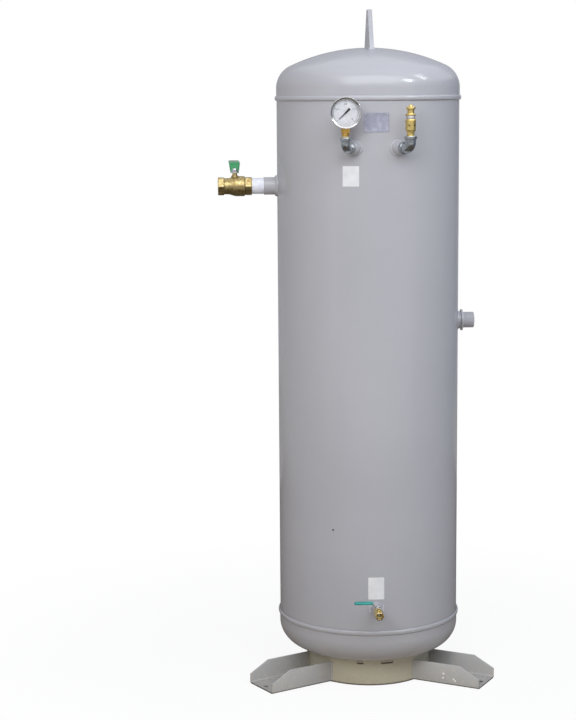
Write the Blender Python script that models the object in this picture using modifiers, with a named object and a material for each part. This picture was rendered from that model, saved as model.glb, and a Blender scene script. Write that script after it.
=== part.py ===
"""Vertical air receiver tank on three channel feet, in metres, +Z up.

The tank stands on z = 0. Everything is built around the tank's own axis, with the front
(nameplate and drain) towards -Y, and the empty "tank_axis" carries it all, so that the
origin is the centre of the whole object's footprint.
"""

from math import asin, cos, pi, radians, sin, sqrt, tau

import bmesh
import bpy
from mathutils import Matrix, Vector

# ---------------------------------------------------------------- driving dimensions
GAP = 0.0003                    # air between pieces that touch on the real tank
WALL = 0.0045                   # steel of shell, heads, skirt and feet

SHELL_RADIUS = 0.250
SHELL_BOTTOM = 0.1725           # lower girth seam
SHELL_TOP = 1.613               # upper girth seam
TANK_STEPS = 40

HEAD_RADIUS = 0.251
HEAD_FLANGE = 0.0265            # straight part between seam and knuckle
CROWN_RADIUS = 0.500
KNUCKLE_RADIUS = 0.0675
BEAD_WIDTH = 0.013
BEAD_HEIGHT = 0.0040

SKIRT_RADIUS = 0.175
SLIT_BOTTOM = 0.0608            # gaps left between the stitch welds at the skirt's top
SLIT_HEIGHT = 0.0038
SLITS = ((-15.5, -9.6), (6.4, 18.0))        # degrees from each gap's middle
SECTORS = (0.0, 120.0, 240.0)

FOOT_ANGLES = {"foot_rear": 90.0, "foot_left": 210.0, "foot_right": 330.0}
FOOT_HALF_WIDTH = 0.0585
FOOT_END = 0.361                # distance of the foot's tip from the tank's axis
FOOT_SHOULDER = 0.303
FOOT_LIP = 0.0275
FOOT_HEIGHT = 0.058
ANCHOR_RADIUS = 0.006
ANCHOR_AT = 0.345

LUG_TOP = 1.850
LUG_THICKNESS = 0.012
LUG_TOP_WIDTH = 0.033
LUG_BASE_WIDTH = 0.164
LUG_CORNER = 0.004
LUG_OFFSET = 0.004              # to the right of the tank's axis
LUG_EYE_RADIUS = 0.0125
LUG_EYE_DROP = 0.036

INLET_HEIGHT = 1.375
INLET_SOCKET_END = 0.2868
INLET_VALVE_START = 0.3201
OUTLET_HEIGHT = 0.997
OUTLET_END = 0.2958
DRAIN_HEIGHT = 0.245
DRAIN_VALVE_START = 0.288

BRANCH_HEIGHT = 1.4835          # gauge and relief branches
BRANCH_AZIMUTH = 13.0           # degrees round the shell from the front
BRANCH_SPLAY = 32.0             # direction of each branch from the front
BRANCH_REACH = 0.0535           # shell to elbow centre

GAUGE_RADIUS = 0.04075
GAUGE_HEIGHT = 1.5760
GAUGE_FRONT = -0.0200           # bezel face, ahead of the stem's axis
POINTER_REST = 225.0            # degrees anticlockwise from the dial's right hand side
PINION_RADIUS = 0.0017
SECTOR_RADIUS = 0.0153          # nine times the pinion

RELIEF_TOP = 1.5960
RELIEF_KNOB_HEIGHT = 0.0059
RELIEF_KNOB_RADIUS = 0.0058

PLATE_LOW = 1.5255
PLATE_HIGH = 1.5750
PLATE_AZIMUTH = 7.7

INLET_VALVE = {
    "half": 0.0464, "hex": 0.048, "outer_hex": 0.017, "seam": 0.0272,
    "barrel": 0.0275, "neck": 0.0222, "taper": (-0.002, 0.016),
    "cavity": 0.0215, "pocket": 0.0180, "ball": 0.0195, "bore": 0.0125,
    "thread": 0.0213, "thread_start": 0.0285, "seat_back": 0.0185,
    "stem": 0.0040, "boss": 0.0085, "boss_top": 0.0300, "gland": 0.0070,
    "gland_top": 0.0360, "packing": (0.0248, 0.0290), "lever_steel": 0.0030,
    "lever_width": 0.0235, "nut": 0.0135, "nut_height": 0.0085,
    "rise": (0.0125, 0.0285), "lift": 0.0245, "grip": (0.036, 0.147),
    "grip_size": (0.0300, 0.0066), "sides": 16,
}
DRAIN_VALVE = {
    "half": 0.0245, "hex": 0.0215, "outer_hex": 0.0085, "seam": 0.0135,
    "barrel": 0.0128, "neck": 0.0102, "taper": (-0.001, 0.008),
    "cavity": 0.0102, "pocket": 0.0081, "ball": 0.0089, "bore": 0.0048,
    "thread": 0.0083, "thread_start": 0.0135, "seat_back": 0.0088,
    "stem": 0.0022, "boss": 0.0052, "boss_top": 0.0140, "gland": 0.0042,
    "gland_top": 0.0158, "packing": (0.0118, 0.0118), "lever_steel": 0.0018,
    "lever_width": 0.0110, "nut": 0.0085, "nut_height": 0.0036,
    "rise": (0.0060, 0.0185), "lift": 0.0140, "grip": (0.0195, 0.066),
    "grip_size": (0.0165, 0.0064), "sides": 12,
}

# ---------------------------------------------------------------- worked out from them
HEAD_TANGENT = SHELL_TOP + HEAD_FLANGE
KNUCKLE_CENTRE = HEAD_RADIUS - KNUCKLE_RADIUS
KNUCKLE_ANGLE = asin(KNUCKLE_CENTRE / (CROWN_RADIUS - KNUCKLE_RADIUS))
CROWN_CENTRE = HEAD_TANGENT - (CROWN_RADIUS - KNUCKLE_RADIUS) * cos(KNUCKLE_ANGLE)
MIDDLE = (SHELL_TOP + SHELL_BOTTOM) / 2

FOOT_REACH_X = FOOT_END * cos(radians(30)) + FOOT_HALF_WIDTH * sin(radians(30))
INLET_REACH = INLET_VALVE_START + 2 * INLET_VALVE["half"]
DRAIN_REACH = DRAIN_VALVE_START + 2 * DRAIN_VALVE["half"]
AXIS_X = (INLET_REACH - FOOT_REACH_X) / 2
AXIS_Y = (DRAIN_REACH - FOOT_END) / 2

COLUMN_X = SHELL_RADIUS * sin(radians(BRANCH_AZIMUTH)) + BRANCH_REACH * sin(radians(BRANCH_SPLAY))
COLUMN_Y = -SHELL_RADIUS * cos(radians(BRANCH_AZIMUTH)) - BRANCH_REACH * cos(radians(BRANCH_SPLAY))

AROUND_X = (0.0, pi / 2, 0.0)       # a turned piece's +Z laid along +X
FACING_FRONT = (pi / 2, 0.0, 0.0)   # a turned piece's +Z laid along -Y


# ---------------------------------------------------------------- scene and helpers
for old in list(bpy.data.objects):
    bpy.data.objects.remove(old, do_unlink=True)

parts = bpy.data.collections.new("air_receiver_tank")
cutters = bpy.data.collections.new("cutters")
bpy.context.scene.collection.children.link(parts)
bpy.context.scene.collection.children.link(cutters)


def add_empty(name, location=(0, 0, 0), turn=0.0, parent=None):
    empty = bpy.data.objects.new(name, None)
    empty.location = location
    empty.rotation_euler = (0, 0, turn)
    empty.parent = parent
    parts.objects.link(empty)
    return empty


tank_axis = add_empty("tank_axis", (AXIS_X, AXIS_Y, 0))


def make_material(name, colour, roughness, metallic):
    material = bpy.data.materials.new(name)
    material.use_nodes = True
    shader = material.node_tree.nodes["Principled BSDF"]
    shader.inputs["Base Color"].default_value = (*colour, 1)
    shader.inputs["Roughness"].default_value = roughness
    shader.inputs["Metallic"].default_value = metallic
    material.diffuse_color = (*colour, 1)
    return material


PAINT = make_material("grey_paint", (0.42, 0.42, 0.46), 0.35, 0.0)
BRASS = make_material("brass", (0.62, 0.46, 0.18), 0.30, 1.0)
ZINC = make_material("galvanised_iron", (0.56, 0.58, 0.58), 0.35, 1.0)
STEEL = make_material("bright_steel", (0.66, 0.67, 0.68), 0.25, 1.0)
PTFE = make_material("white_ptfe", (0.86, 0.86, 0.88), 0.50, 0.0)
VINYL = make_material("green_vinyl", (0.05, 0.34, 0.22), 0.45, 0.0)
TEAL = make_material("teal_vinyl", (0.04, 0.38, 0.36), 0.45, 0.0)
DIAL = make_material("white_dial", (0.85, 0.86, 0.86), 0.40, 0.0)
BLACK = make_material("black_enamel", (0.02, 0.02, 0.02), 0.40, 0.0)
GLASS = make_material("clear_glass", (0.90, 0.93, 0.93), 0.05, 0.0)


def place(name, data, material, location=(0, 0, 0), rotation=(0, 0, 0), parent=tank_axis):
    """A named sub-part; material None makes a cutter or a guide instead."""
    thing = bpy.data.objects.new(name, data)
    thing.location = location
    thing.rotation_euler = rotation
    thing.parent = parent
    if material is None:
        thing.hide_render = True
        thing.display_type = "WIRE"
        cutters.objects.link(thing)
    else:
        data.materials.append(material)
        parts.objects.link(thing)
    return thing


def smooth(thing, degrees=35):
    thing.data.shade_smooth()
    thing.data.set_sharp_from_angle(angle=radians(degrees))
    return thing


def turned(name, outline, material, steps=16, closed=False, **where):
    """A lathe piece: (radius, height) points run down the outer side, top to bottom."""
    mesh = bpy.data.meshes.new(name)
    edges = [(i, i + 1) for i in range(len(outline) - 1)]
    if closed:
        edges.append((len(outline) - 1, 0))
    mesh.from_pydata([(radius, 0, height) for radius, height in outline], edges, [])
    thing = place(name, mesh, material, **where)
    screw = thing.modifiers.new("Turn", "SCREW")
    screw.steps = screw.render_steps = steps
    screw.use_merge_vertices = True
    screw.merge_threshold = 0.00005
    screw.use_smooth_shade = True
    return thing


def ring(name, outer, inner, low, high, material, steps=16, **where):
    outline = [(outer, high), (outer, low), (inner, low), (inner, high)]
    return turned(name, outline, material, steps, closed=True, **where)


def prism_mesh(name, radius, low, high, sides, turn=0.0):
    """A cylinder, or a hexagon with sides=6, from low to high along its own Z."""
    shape = bmesh.new()
    bmesh.ops.create_cone(shape, cap_ends=True, segments=sides, radius1=radius, radius2=radius,
                          depth=high - low)
    bmesh.ops.rotate(shape, verts=shape.verts, cent=(0, 0, 0), matrix=Matrix.Rotation(turn, 3, "Z"))
    bmesh.ops.translate(shape, verts=shape.verts, vec=(0, 0, (high + low) / 2))
    mesh = bpy.data.meshes.new(name)
    shape.to_mesh(mesh)
    shape.free()
    return mesh


def prism(name, radius, low, high, material, sides=16, turn=0.0, **where):
    return place(name, prism_mesh(name, radius, low, high, sides, turn), material, **where)


def hexagon(name, across_flats, low, high, material, turn=0.0, **where):
    return prism(name, across_flats / sqrt(3), low, high, material, sides=6, turn=turn, **where)


def box(name, low, high, material, **where):
    """A block between two corners, given in its parent's axes."""
    shape = bmesh.new()
    bmesh.ops.create_cube(shape, size=1.0)
    size = Vector(high) - Vector(low)
    bmesh.ops.scale(shape, verts=shape.verts, vec=size)
    bmesh.ops.translate(shape, verts=shape.verts, vec=(Vector(high) + Vector(low)) / 2)
    mesh = bpy.data.meshes.new(name)
    shape.to_mesh(mesh)
    shape.free()
    return place(name, mesh, material, **where)


def plate(name, outline, thickness, material, holes=(), **where):
    """A flat piece from a closed outline, centred on its own XY plane."""
    curve = bpy.data.curves.new(name, "CURVE")
    curve.dimensions = "2D"
    curve.fill_mode = "BOTH"
    curve.extrude = thickness / 2
    for loop in (outline, *holes):
        spline = curve.splines.new("POLY")
        spline.points.add(len(loop) - 1)
        spline.use_cyclic_u = True
        for point, (x, y) in zip(spline.points, loop):
            point.co = (x, y, 0, 1)
    return place(name, curve, material, **where)


def pipe(name, points, radius, material, sharpness=6, **where):
    """A round bar along a list of points, with flat ends."""
    curve = bpy.data.curves.new(name, "CURVE")
    curve.dimensions = "3D"
    curve.bevel_depth = radius
    curve.bevel_resolution = sharpness
    curve.use_fill_caps = True
    curve.render_resolution_u = 0
    spline = curve.splines.new("POLY")
    spline.points.add(len(points) - 1)
    for point, co in zip(spline.points, points):
        point.co = (*co, 1)
    return place(name, curve, material, **where)


def as_mesh(thing):
    """Turn a curve into a closed mesh at the same place, ready for cutting."""
    bpy.context.view_layer.update()
    evaluated = thing.evaluated_get(bpy.context.evaluated_depsgraph_get())
    mesh = bpy.data.meshes.new_from_object(evaluated)
    shape = bmesh.new()
    shape.from_mesh(mesh)
    bmesh.ops.remove_doubles(shape, verts=shape.verts, dist=0.00001)
    shape.to_mesh(mesh)
    shape.free()
    name, home = thing.name, thing.users_collection[0]
    parent, matrix, hidden = thing.parent, thing.matrix_world.copy(), thing.hide_render
    bpy.data.objects.remove(thing, do_unlink=True)
    solid = bpy.data.objects.new(name, mesh)
    solid.parent = parent
    home.objects.link(solid)
    solid.matrix_world = matrix
    solid.hide_render = hidden
    solid.display_type = "WIRE" if hidden else "TEXTURED"
    return solid


def combine(thing, other, operation="DIFFERENCE"):
    boolean = thing.modifiers.new(other.name, "BOOLEAN")
    boolean.operation = operation
    boolean.solver = "EXACT"
    boolean.object = other
    return thing


def arc(centre_x, centre_y, radius, start, end, count):
    """Points along a circle from one angle to another, in radians."""
    steps = [start + (end - start) * i / (count - 1) for i in range(count)]
    return [(centre_x + radius * cos(a), centre_y + radius * sin(a)) for a in steps]


def circle(radius, count=16, x=0.0, y=0.0):
    return arc(x, y, radius, 0, tau * (count - 1) / count, count)


# ---------------------------------------------------------------- pressure vessel
def head_outline(inset, count):
    """Torispherical outline from the apex down to the flange, inset by the wall or not."""
    crown = arc(0, CROWN_CENTRE, CROWN_RADIUS - inset, pi / 2, pi / 2 - KNUCKLE_ANGLE, count)
    knuckle = arc(KNUCKLE_CENTRE, HEAD_TANGENT, KNUCKLE_RADIUS - inset,
                  pi / 2 - KNUCKLE_ANGLE, 0, count)
    return [(0, crown[0][1])] + crown[1:] + knuckle[1:]


def crown_height(distance):
    """Outer surface of the top head's crown at a distance from the axis."""
    return CROWN_CENTRE + sqrt(CROWN_RADIUS ** 2 - distance ** 2)


def mirrored(height):
    return 2 * MIDDLE - height


def build_vessel():
    seam = SHELL_TOP + GAP / 2
    outer = head_outline(0, 4) + [(HEAD_RADIUS, seam)]
    inner = [(HEAD_RADIUS - WALL, seam)] + head_outline(WALL, 4)[::-1]
    top = outer + inner
    turned("top_head", top, PAINT, TANK_STEPS)
    turned("bottom_head", [(r, mirrored(z)) for r, z in top][::-1], PAINT, TANK_STEPS)
    shell = ring("shell", SHELL_RADIUS, SHELL_RADIUS - WALL, SHELL_BOTTOM + GAP / 2,
                 SHELL_TOP - GAP / 2, PAINT, TANK_STEPS)
    for name, height in (("top_seam_weld", SHELL_TOP), ("bottom_seam_weld", SHELL_BOTTOM)):
        base = HEAD_RADIUS + GAP
        crest = arc(0, 0, 1, pi / 2, -pi / 2, 4)
        bead = [(base + BEAD_HEIGHT * c, height + BEAD_WIDTH / 2 * s) for c, s in crest]
        turned(name, bead, PAINT, TANK_STEPS, closed=True)
    return shell


def build_skirt():
    """Rolled ring under the bottom head, stitch-welded so that slits stay open at its top."""
    def under_head(radius):
        return mirrored(crown_height(radius)) - GAP - 0.0002

    inner = SKIRT_RADIUS - WALL
    outline = [(SKIRT_RADIUS, under_head(SKIRT_RADIUS)), (SKIRT_RADIUS, 0), (inner, 0),
               (inner, under_head(inner))]
    skirt = turned("base_skirt", outline, PAINT, TANK_STEPS, closed=True)
    for sector in SECTORS:
        for number, (start, end) in enumerate(SLITS):
            turn = radians(sector + (start + end) / 2)
            half = SKIRT_RADIUS * radians(end - start) / 2
            slit = box(f"slit_{sector:.0f}_{number}", (-half, -SKIRT_RADIUS - 0.01, SLIT_BOTTOM),
                       (half, -SKIRT_RADIUS + 0.02, SLIT_BOTTOM + SLIT_HEIGHT), None,
                       rotation=(0, 0, turn))
            combine(skirt, slit)


def build_foot(name, angle):
    """Bent channel with its mouth up, running out from the skirt."""
    frame = add_empty(f"{name}_frame", turn=radians(angle), parent=tank_axis)
    side = [(SKIRT_RADIUS - 0.03, 0), (FOOT_END, 0), (FOOT_END, FOOT_LIP),
            (FOOT_SHOULDER, FOOT_HEIGHT), (SKIRT_RADIUS - 0.03, FOOT_HEIGHT)]
    foot = as_mesh(plate(name, side, 2 * FOOT_HALF_WIDTH, PAINT, rotation=FACING_FRONT, parent=frame))
    inside = FOOT_HALF_WIDTH - WALL
    combine(foot, box(f"{name}_mouth", (0, -inside, WALL), (0.4, inside, 0.1), None, parent=frame))
    combine(foot, prism(f"{name}_skirt_cut", SKIRT_RADIUS + GAP, -0.01, 0.1, None,
                        sides=TANK_STEPS, turn=-radians(angle), parent=frame))
    combine(foot, prism(f"{name}_anchor_hole", ANCHOR_RADIUS, -0.01, 0.02, None,
                        location=(ANCHOR_AT, 0, 0), parent=frame))


def build_lug():
    """Lifting eye: a plate that stands front to back on the crown."""
    half_top, half_base = LUG_TOP_WIDTH / 2, LUG_BASE_WIDTH / 2
    foot = [(y, crown_height(y) + GAP) for y in
            (half_base * (1 - i / 4) for i in range(9))]
    sides = arc(LUG_CORNER - half_top, LUG_TOP - LUG_CORNER, LUG_CORNER, pi, pi / 2, 4)
    sides += arc(half_top - LUG_CORNER, LUG_TOP - LUG_CORNER, LUG_CORNER, pi / 2, 0, 4)
    eye = circle(LUG_EYE_RADIUS, 20, 0, LUG_TOP - LUG_EYE_DROP)
    plate("lifting_lug", foot + sides, LUG_THICKNESS, PAINT, holes=[eye],
          location=(LUG_OFFSET, 0, 0), rotation=(pi / 2, 0, pi / 2))


# ---------------------------------------------------------------- side connections
def build_inlet(shell):
    """Welded half coupling on the left with a taped nipple that the valve screws onto."""
    where = {"location": (0, 0, INLET_HEIGHT), "rotation": (0, -pi / 2, 0)}
    radius, thread, inside = 0.0240, 0.0213, 0.243
    coupling = [(radius, INLET_SOCKET_END), (radius, 0.260), (0.0300, 0.2528), (0.0300, 0.2505),
                (radius, 0.2505), (radius, inside), (0.0180, inside), (0.0180, 0.262),
                (thread, 0.262), (thread, INLET_SOCKET_END)]
    turned("inlet_coupling", coupling, PAINT, 16, closed=True, **where)
    nipple = thread - GAP
    start = INLET_SOCKET_END + GAP
    end = INLET_VALVE_START - GAP
    taped = [(nipple, end + 0.0165), (nipple, end), (0.0218, end), (0.0218, start),
             (nipple, start), (nipple, 0.263), (0.0165, 0.263), (0.0165, end + 0.0165)]
    turned("inlet_nipple", taped, PTFE, 16, closed=True, **where)
    combine(shell, prism("inlet_hole", radius + GAP, 0.2, 0.3, None, **where))


def build_outlet(shell):
    """Threaded nipple on the right with a thin collar round it."""
    where = {"location": (0, 0, OUTLET_HEIGHT), "rotation": AROUND_X}
    radius, bore = 0.0220, 0.0180
    nipple = [(radius, OUTLET_END), (radius, 0.2590), (0.0238, 0.2590), (0.0238, 0.243),
              (bore, 0.243), (bore, OUTLET_END)]
    turned("outlet_nipple", nipple, PAINT, 16, closed=True, **where)
    ring("outlet_collar", 0.0295, radius + GAP, 0.2593, 0.2643, PAINT, 16, **where)
    combine(shell, prism("outlet_hole", 0.0238 + GAP, 0.2, 0.3, None, **where))


def build_drain(shell):
    """Small half coupling low at the front with the nipple of the drain valve."""
    where = {"location": (0, 0, DRAIN_HEIGHT), "rotation": FACING_FRONT}
    radius, thread, inside = 0.0125, 0.0083, 0.243
    outer_end = 0.272
    coupling = [(radius, outer_end), (radius, 0.2560), (0.0160, 0.2522), (0.0160, 0.2505),
                (radius, 0.2505), (radius, inside), (0.0060, inside), (0.0060, 0.256),
                (thread, 0.256), (thread, outer_end)]
    turned("drain_coupling", coupling, PAINT, 16, closed=True, **where)
    nipple = thread - GAP
    taped = [(nipple, DRAIN_VALVE_START + 0.009), (nipple, 0.257), (0.0055, 0.257),
             (0.0055, DRAIN_VALVE_START + 0.009)]
    turned("drain_nipple", taped, BRASS, 16, closed=True, **where)
    combine(shell, prism("drain_hole", radius + GAP, 0.2, 0.3, None, **where))


def build_branch(name, side, socket, elbow_arm, band, body, bore, shell):
    """Painted socket, hidden nipple and a galvanised elbow that turns up to the fitting."""
    splay = radians(BRANCH_SPLAY) * side
    base = Vector((SHELL_RADIUS * sin(radians(BRANCH_AZIMUTH)) * side,
                   -SHELL_RADIUS * cos(radians(BRANCH_AZIMUTH)), BRANCH_HEIGHT))
    where = {"location": base, "rotation": (pi / 2, 0, splay)}
    face = BRANCH_REACH - elbow_arm
    end = face - 0.0015
    thread = bore + 0.0035
    outline = [(socket, end), (socket, -0.008), (bore, -0.008), (bore, 0.002), (thread, 0.002),
               (thread, end)]
    turned(f"{name}_socket", outline, PAINT, 16, closed=True, **where)
    combine(shell, prism(f"{name}_hole", socket + GAP, -0.03, 0.03, None, **where))
    ring(f"{name}_nipple", thread - GAP, bore, 0.003, face + 0.011, ZINC, 16, **where)

    centre = add_empty(f"{name}_elbow_centre", (COLUMN_X * side, COLUMN_Y, BRANCH_HEIGHT), splay,
                       tank_axis)
    bend = body + 0.0025
    curve = [(0, y, z) for y, z in arc(bend, bend, bend, pi, 1.5 * pi, 5)][::-1]
    # the bend runs from the arm towards the tank (+Y here) round to the one that points up
    path = [(0, elbow_arm, 0)] + curve + [(0, 0, elbow_arm)]
    elbow = as_mesh(pipe(f"{name}_elbow", path, body, ZINC, 5, parent=centre))
    width = 0.0085
    combine(elbow, prism(f"{name}_band_up", band, elbow_arm - width, elbow_arm + 0.0001, None,
                         parent=centre), "UNION")
    combine(elbow, prism(f"{name}_band_in", band, elbow_arm - width, elbow_arm + 0.0001, None,
                         rotation=(-pi / 2, 0, 0), parent=centre), "UNION")
    inner = [(0, elbow_arm + 0.01, 0)] + curve + [(0, 0, elbow_arm + 0.01)]
    combine(elbow, as_mesh(pipe(f"{name}_way", inner, bore, None, 4, parent=centre)))
    for label, rotation in (("up", (0, 0, 0)), ("in", (-pi / 2, 0, 0))):
        combine(elbow, prism(f"{name}_thread_{label}", thread, elbow_arm - 0.014,
                             elbow_arm + 0.01, None, rotation=rotation, parent=centre))


# ---------------------------------------------------------------- ball valves
def strip_outline(points, thickness):
    """Closed outline of a bent strip that follows a list of points."""
    left, right = [], []
    for i, (x, y) in enumerate(points):
        before = Vector(points[max(i - 1, 0)])
        after = Vector(points[min(i + 1, len(points) - 1)])
        here = Vector((x, y))
        into = (here - before).normalized() if i else (after - here).normalized()
        out = (after - here).normalized() if i < len(points) - 1 else into
        across = (Vector((-into.y, into.x)) + Vector((-out.y, out.x))).normalized()
        reach = thickness / 2 / across.dot(Vector((-into.y, into.x)))
        left.append(tuple(here + across * reach))
        right.append(tuple(here - across * reach))
    return left + right[::-1]


def build_ball_valve(name, d, location, turn, grip_material):
    """Two-piece ball valve: the flow runs out along the frame's +X, the stem stands on +Z.

    At rest the bore lies across the flow and the lever points along the frame's -Y, so the
    valve is shut; a quarter turn about +Z opens it.
    """
    frame = add_empty(f"{name}_frame", location, turn, tank_axis)
    along = {"rotation": AROUND_X, "parent": frame}
    steps = d["sides"]
    flat = pi / 6                                # hexagons lie with a flat on top

    start, end = d["taper"]
    shoulder = 0.0012
    barrel = [(0, d["half"] - 0.001), (d["neck"], d["half"] - 0.001), (d["neck"], end),
              (d["barrel"], start), (d["barrel"], shoulder - d["seam"]),
              (d["barrel"] - shoulder, -d["seam"]), (0, -d["seam"])]
    body = turned(f"{name}_valve_body", barrel, BRASS, steps, **along)
    combine(body, hexagon(f"{name}_body_hex", d["hex"], d["half"] - d["outer_hex"], d["half"],
                          None, flat, **along), "UNION")
    combine(body, prism(f"{name}_boss", d["boss"], d["bore"], d["boss_top"], None,
                        parent=frame), "UNION")
    pocket_edge = d["ball"] * 0.46
    step = d["cavity"] - d["pocket"]
    hollow = [(0, d["half"] + 0.01), (d["thread"], d["half"] + 0.01),
              (d["thread"], d["thread_start"]), (d["bore"], d["thread_start"]),
              (d["bore"], d["seat_back"] + GAP), (d["pocket"], d["seat_back"] + GAP),
              (d["pocket"], pocket_edge), (d["cavity"], pocket_edge - step),
              (d["cavity"], -d["seam"] - 0.01), (0, -d["seam"] - 0.01)]
    combine(body, turned(f"{name}_body_hollow", hollow, None, steps, **along))
    stem_hole = d["stem"] + GAP
    well = (d["gland"] + stem_hole) / 2
    combine(body, prism(f"{name}_stem_hole", stem_hole, 0, 0.1, None, parent=frame))
    combine(body, prism(f"{name}_packing_well", well + GAP, d["packing"][0] - GAP, 0.1, None,
                        parent=frame))

    cap = hexagon(f"{name}_valve_end", d["hex"], -d["half"], -d["seam"] - GAP, BRASS, flat, **along)
    combine(cap, prism(f"{name}_end_sleeve", d["cavity"] - GAP, -d["seam"] - 0.002, -pocket_edge,
                       None, sides=steps, **along), "UNION")
    throat = [(0, 0), (d["pocket"], 0), (d["pocket"], -d["seat_back"] - GAP),
              (d["bore"], -d["seat_back"] - GAP), (d["bore"], -d["thread_start"]),
              (d["thread"], -d["thread_start"]), (d["thread"], -d["half"] - 0.01),
              (0, -d["half"] - 0.01)]
    combine(cap, turned(f"{name}_throat", throat, None, steps, **along))

    # seats of soft plastic that the ball turns against
    rest = d["ball"] + GAP
    low, high = d["bore"] + 0.0003, d["pocket"] - GAP
    edge = sqrt(rest ** 2 - low ** 2)
    touch = arc(0, 0, rest + 0.00015, asin(edge / rest), asin(sqrt(rest ** 2 - high ** 2) / rest), 3)
    seat = [(high, d["seat_back"])] + [(r, h) for r, h in touch[::-1]] + [(low, d["seat_back"])]
    turned(f"{name}_seat_outer", seat, PTFE, steps, closed=True, **along)
    turned(f"{name}_seat_inner", [(r, -h) for r, h in seat][::-1], PTFE, steps, closed=True, **along)

    # ball, stem and lever turn together
    shape = bmesh.new()
    bmesh.ops.create_uvsphere(shape, u_segments=steps, v_segments=8, radius=d["ball"])
    mesh = bpy.data.meshes.new(f"{name}_ball")
    shape.to_mesh(mesh)
    shape.free()
    ball = smooth(place(f"{name}_ball", mesh, STEEL, parent=frame))
    combine(ball, prism(f"{name}_ball_bore", d["bore"], -0.05, 0.05, None, rotation=FACING_FRONT,
                        parent=frame))
    tang = d["stem"] * 0.5
    floor = d["bore"] + (d["ball"] - d["bore"]) * 0.5
    combine(ball, box(f"{name}_ball_slot", (-0.05, -tang - GAP, floor), (0.05, tang + GAP, 0.05),
                      None, parent=frame))
    lever_low = d["gland_top"] + GAP
    lever_high = lever_low + d["lever_steel"]
    stem_top = lever_high + GAP + d["nut_height"] + 0.001
    stem = prism(f"{name}_stem", d["stem"], d["ball"] + GAP, stem_top, STEEL, sides=12, parent=frame)
    combine(stem, box(f"{name}_stem_tang", (-d["stem"] * 0.8, -tang, floor + GAP),
                      (d["stem"] * 0.8, tang, d["ball"] + 0.001), None, parent=frame), "UNION")

    if d["packing"][1] > d["packing"][0]:        # the small valve's gland seals on its own
        ring(f"{name}_packing", well, stem_hole, *d["packing"], PTFE, 12, parent=frame)
    neck = d["boss_top"] + GAP
    gland = [(d["gland"], d["gland_top"]), (d["gland"], neck), (well, neck),
             (well, d["packing"][1] + GAP), (stem_hole, d["packing"][1] + GAP),
             (stem_hole, d["gland_top"])]
    turned(f"{name}_gland_nut", gland, BRASS, 12, closed=True, parent=frame)

    low_line = (lever_low + lever_high) / 2
    high_line = low_line + d["lift"]
    head = d["lever_width"] / 2
    bend_start, bend_end = d["rise"]
    line = [(head, low_line), (-bend_start, low_line), (-bend_end, high_line),
            (-d["grip"][1] + 0.003, high_line)]
    # the outline is drawn in the frame's YZ plane and given the lever's width along X
    lever = as_mesh(plate(f"{name}_lever", strip_outline(line, d["lever_steel"]), d["lever_width"],
                          STEEL, rotation=(pi / 2, 0, pi / 2), parent=frame))
    combine(lever, prism(f"{name}_lever_hole", stem_hole, 0, 0.1, None, parent=frame))
    nut = hexagon(f"{name}_lever_nut", d["nut"], lever_high + GAP, lever_high + GAP + d["nut_height"],
                  STEEL, flat, parent=frame)
    combine(nut, prism(f"{name}_nut_hole", stem_hole, 0, 0.1, None, sides=12, parent=frame))

    wide, tall = d["grip_size"]
    near, far = d["grip"]
    grip = box(f"{name}_grip", (-wide / 2, -far, high_line - tall / 2),
               (wide / 2, -near, high_line + tall / 2), grip_material, parent=frame)
    edges = grip.modifiers.new("Round", "BEVEL")
    edges.width = tall * 0.3
    edges.segments = 2
    room = (d["lever_width"] / 2 + GAP, d["lever_steel"] / 2 + GAP)
    combine(grip, box(f"{name}_grip_room", (-room[0], -far + 0.003 - GAP, high_line - room[1]),
                      (room[0], 0, high_line + room[1]), None, parent=frame))


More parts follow.
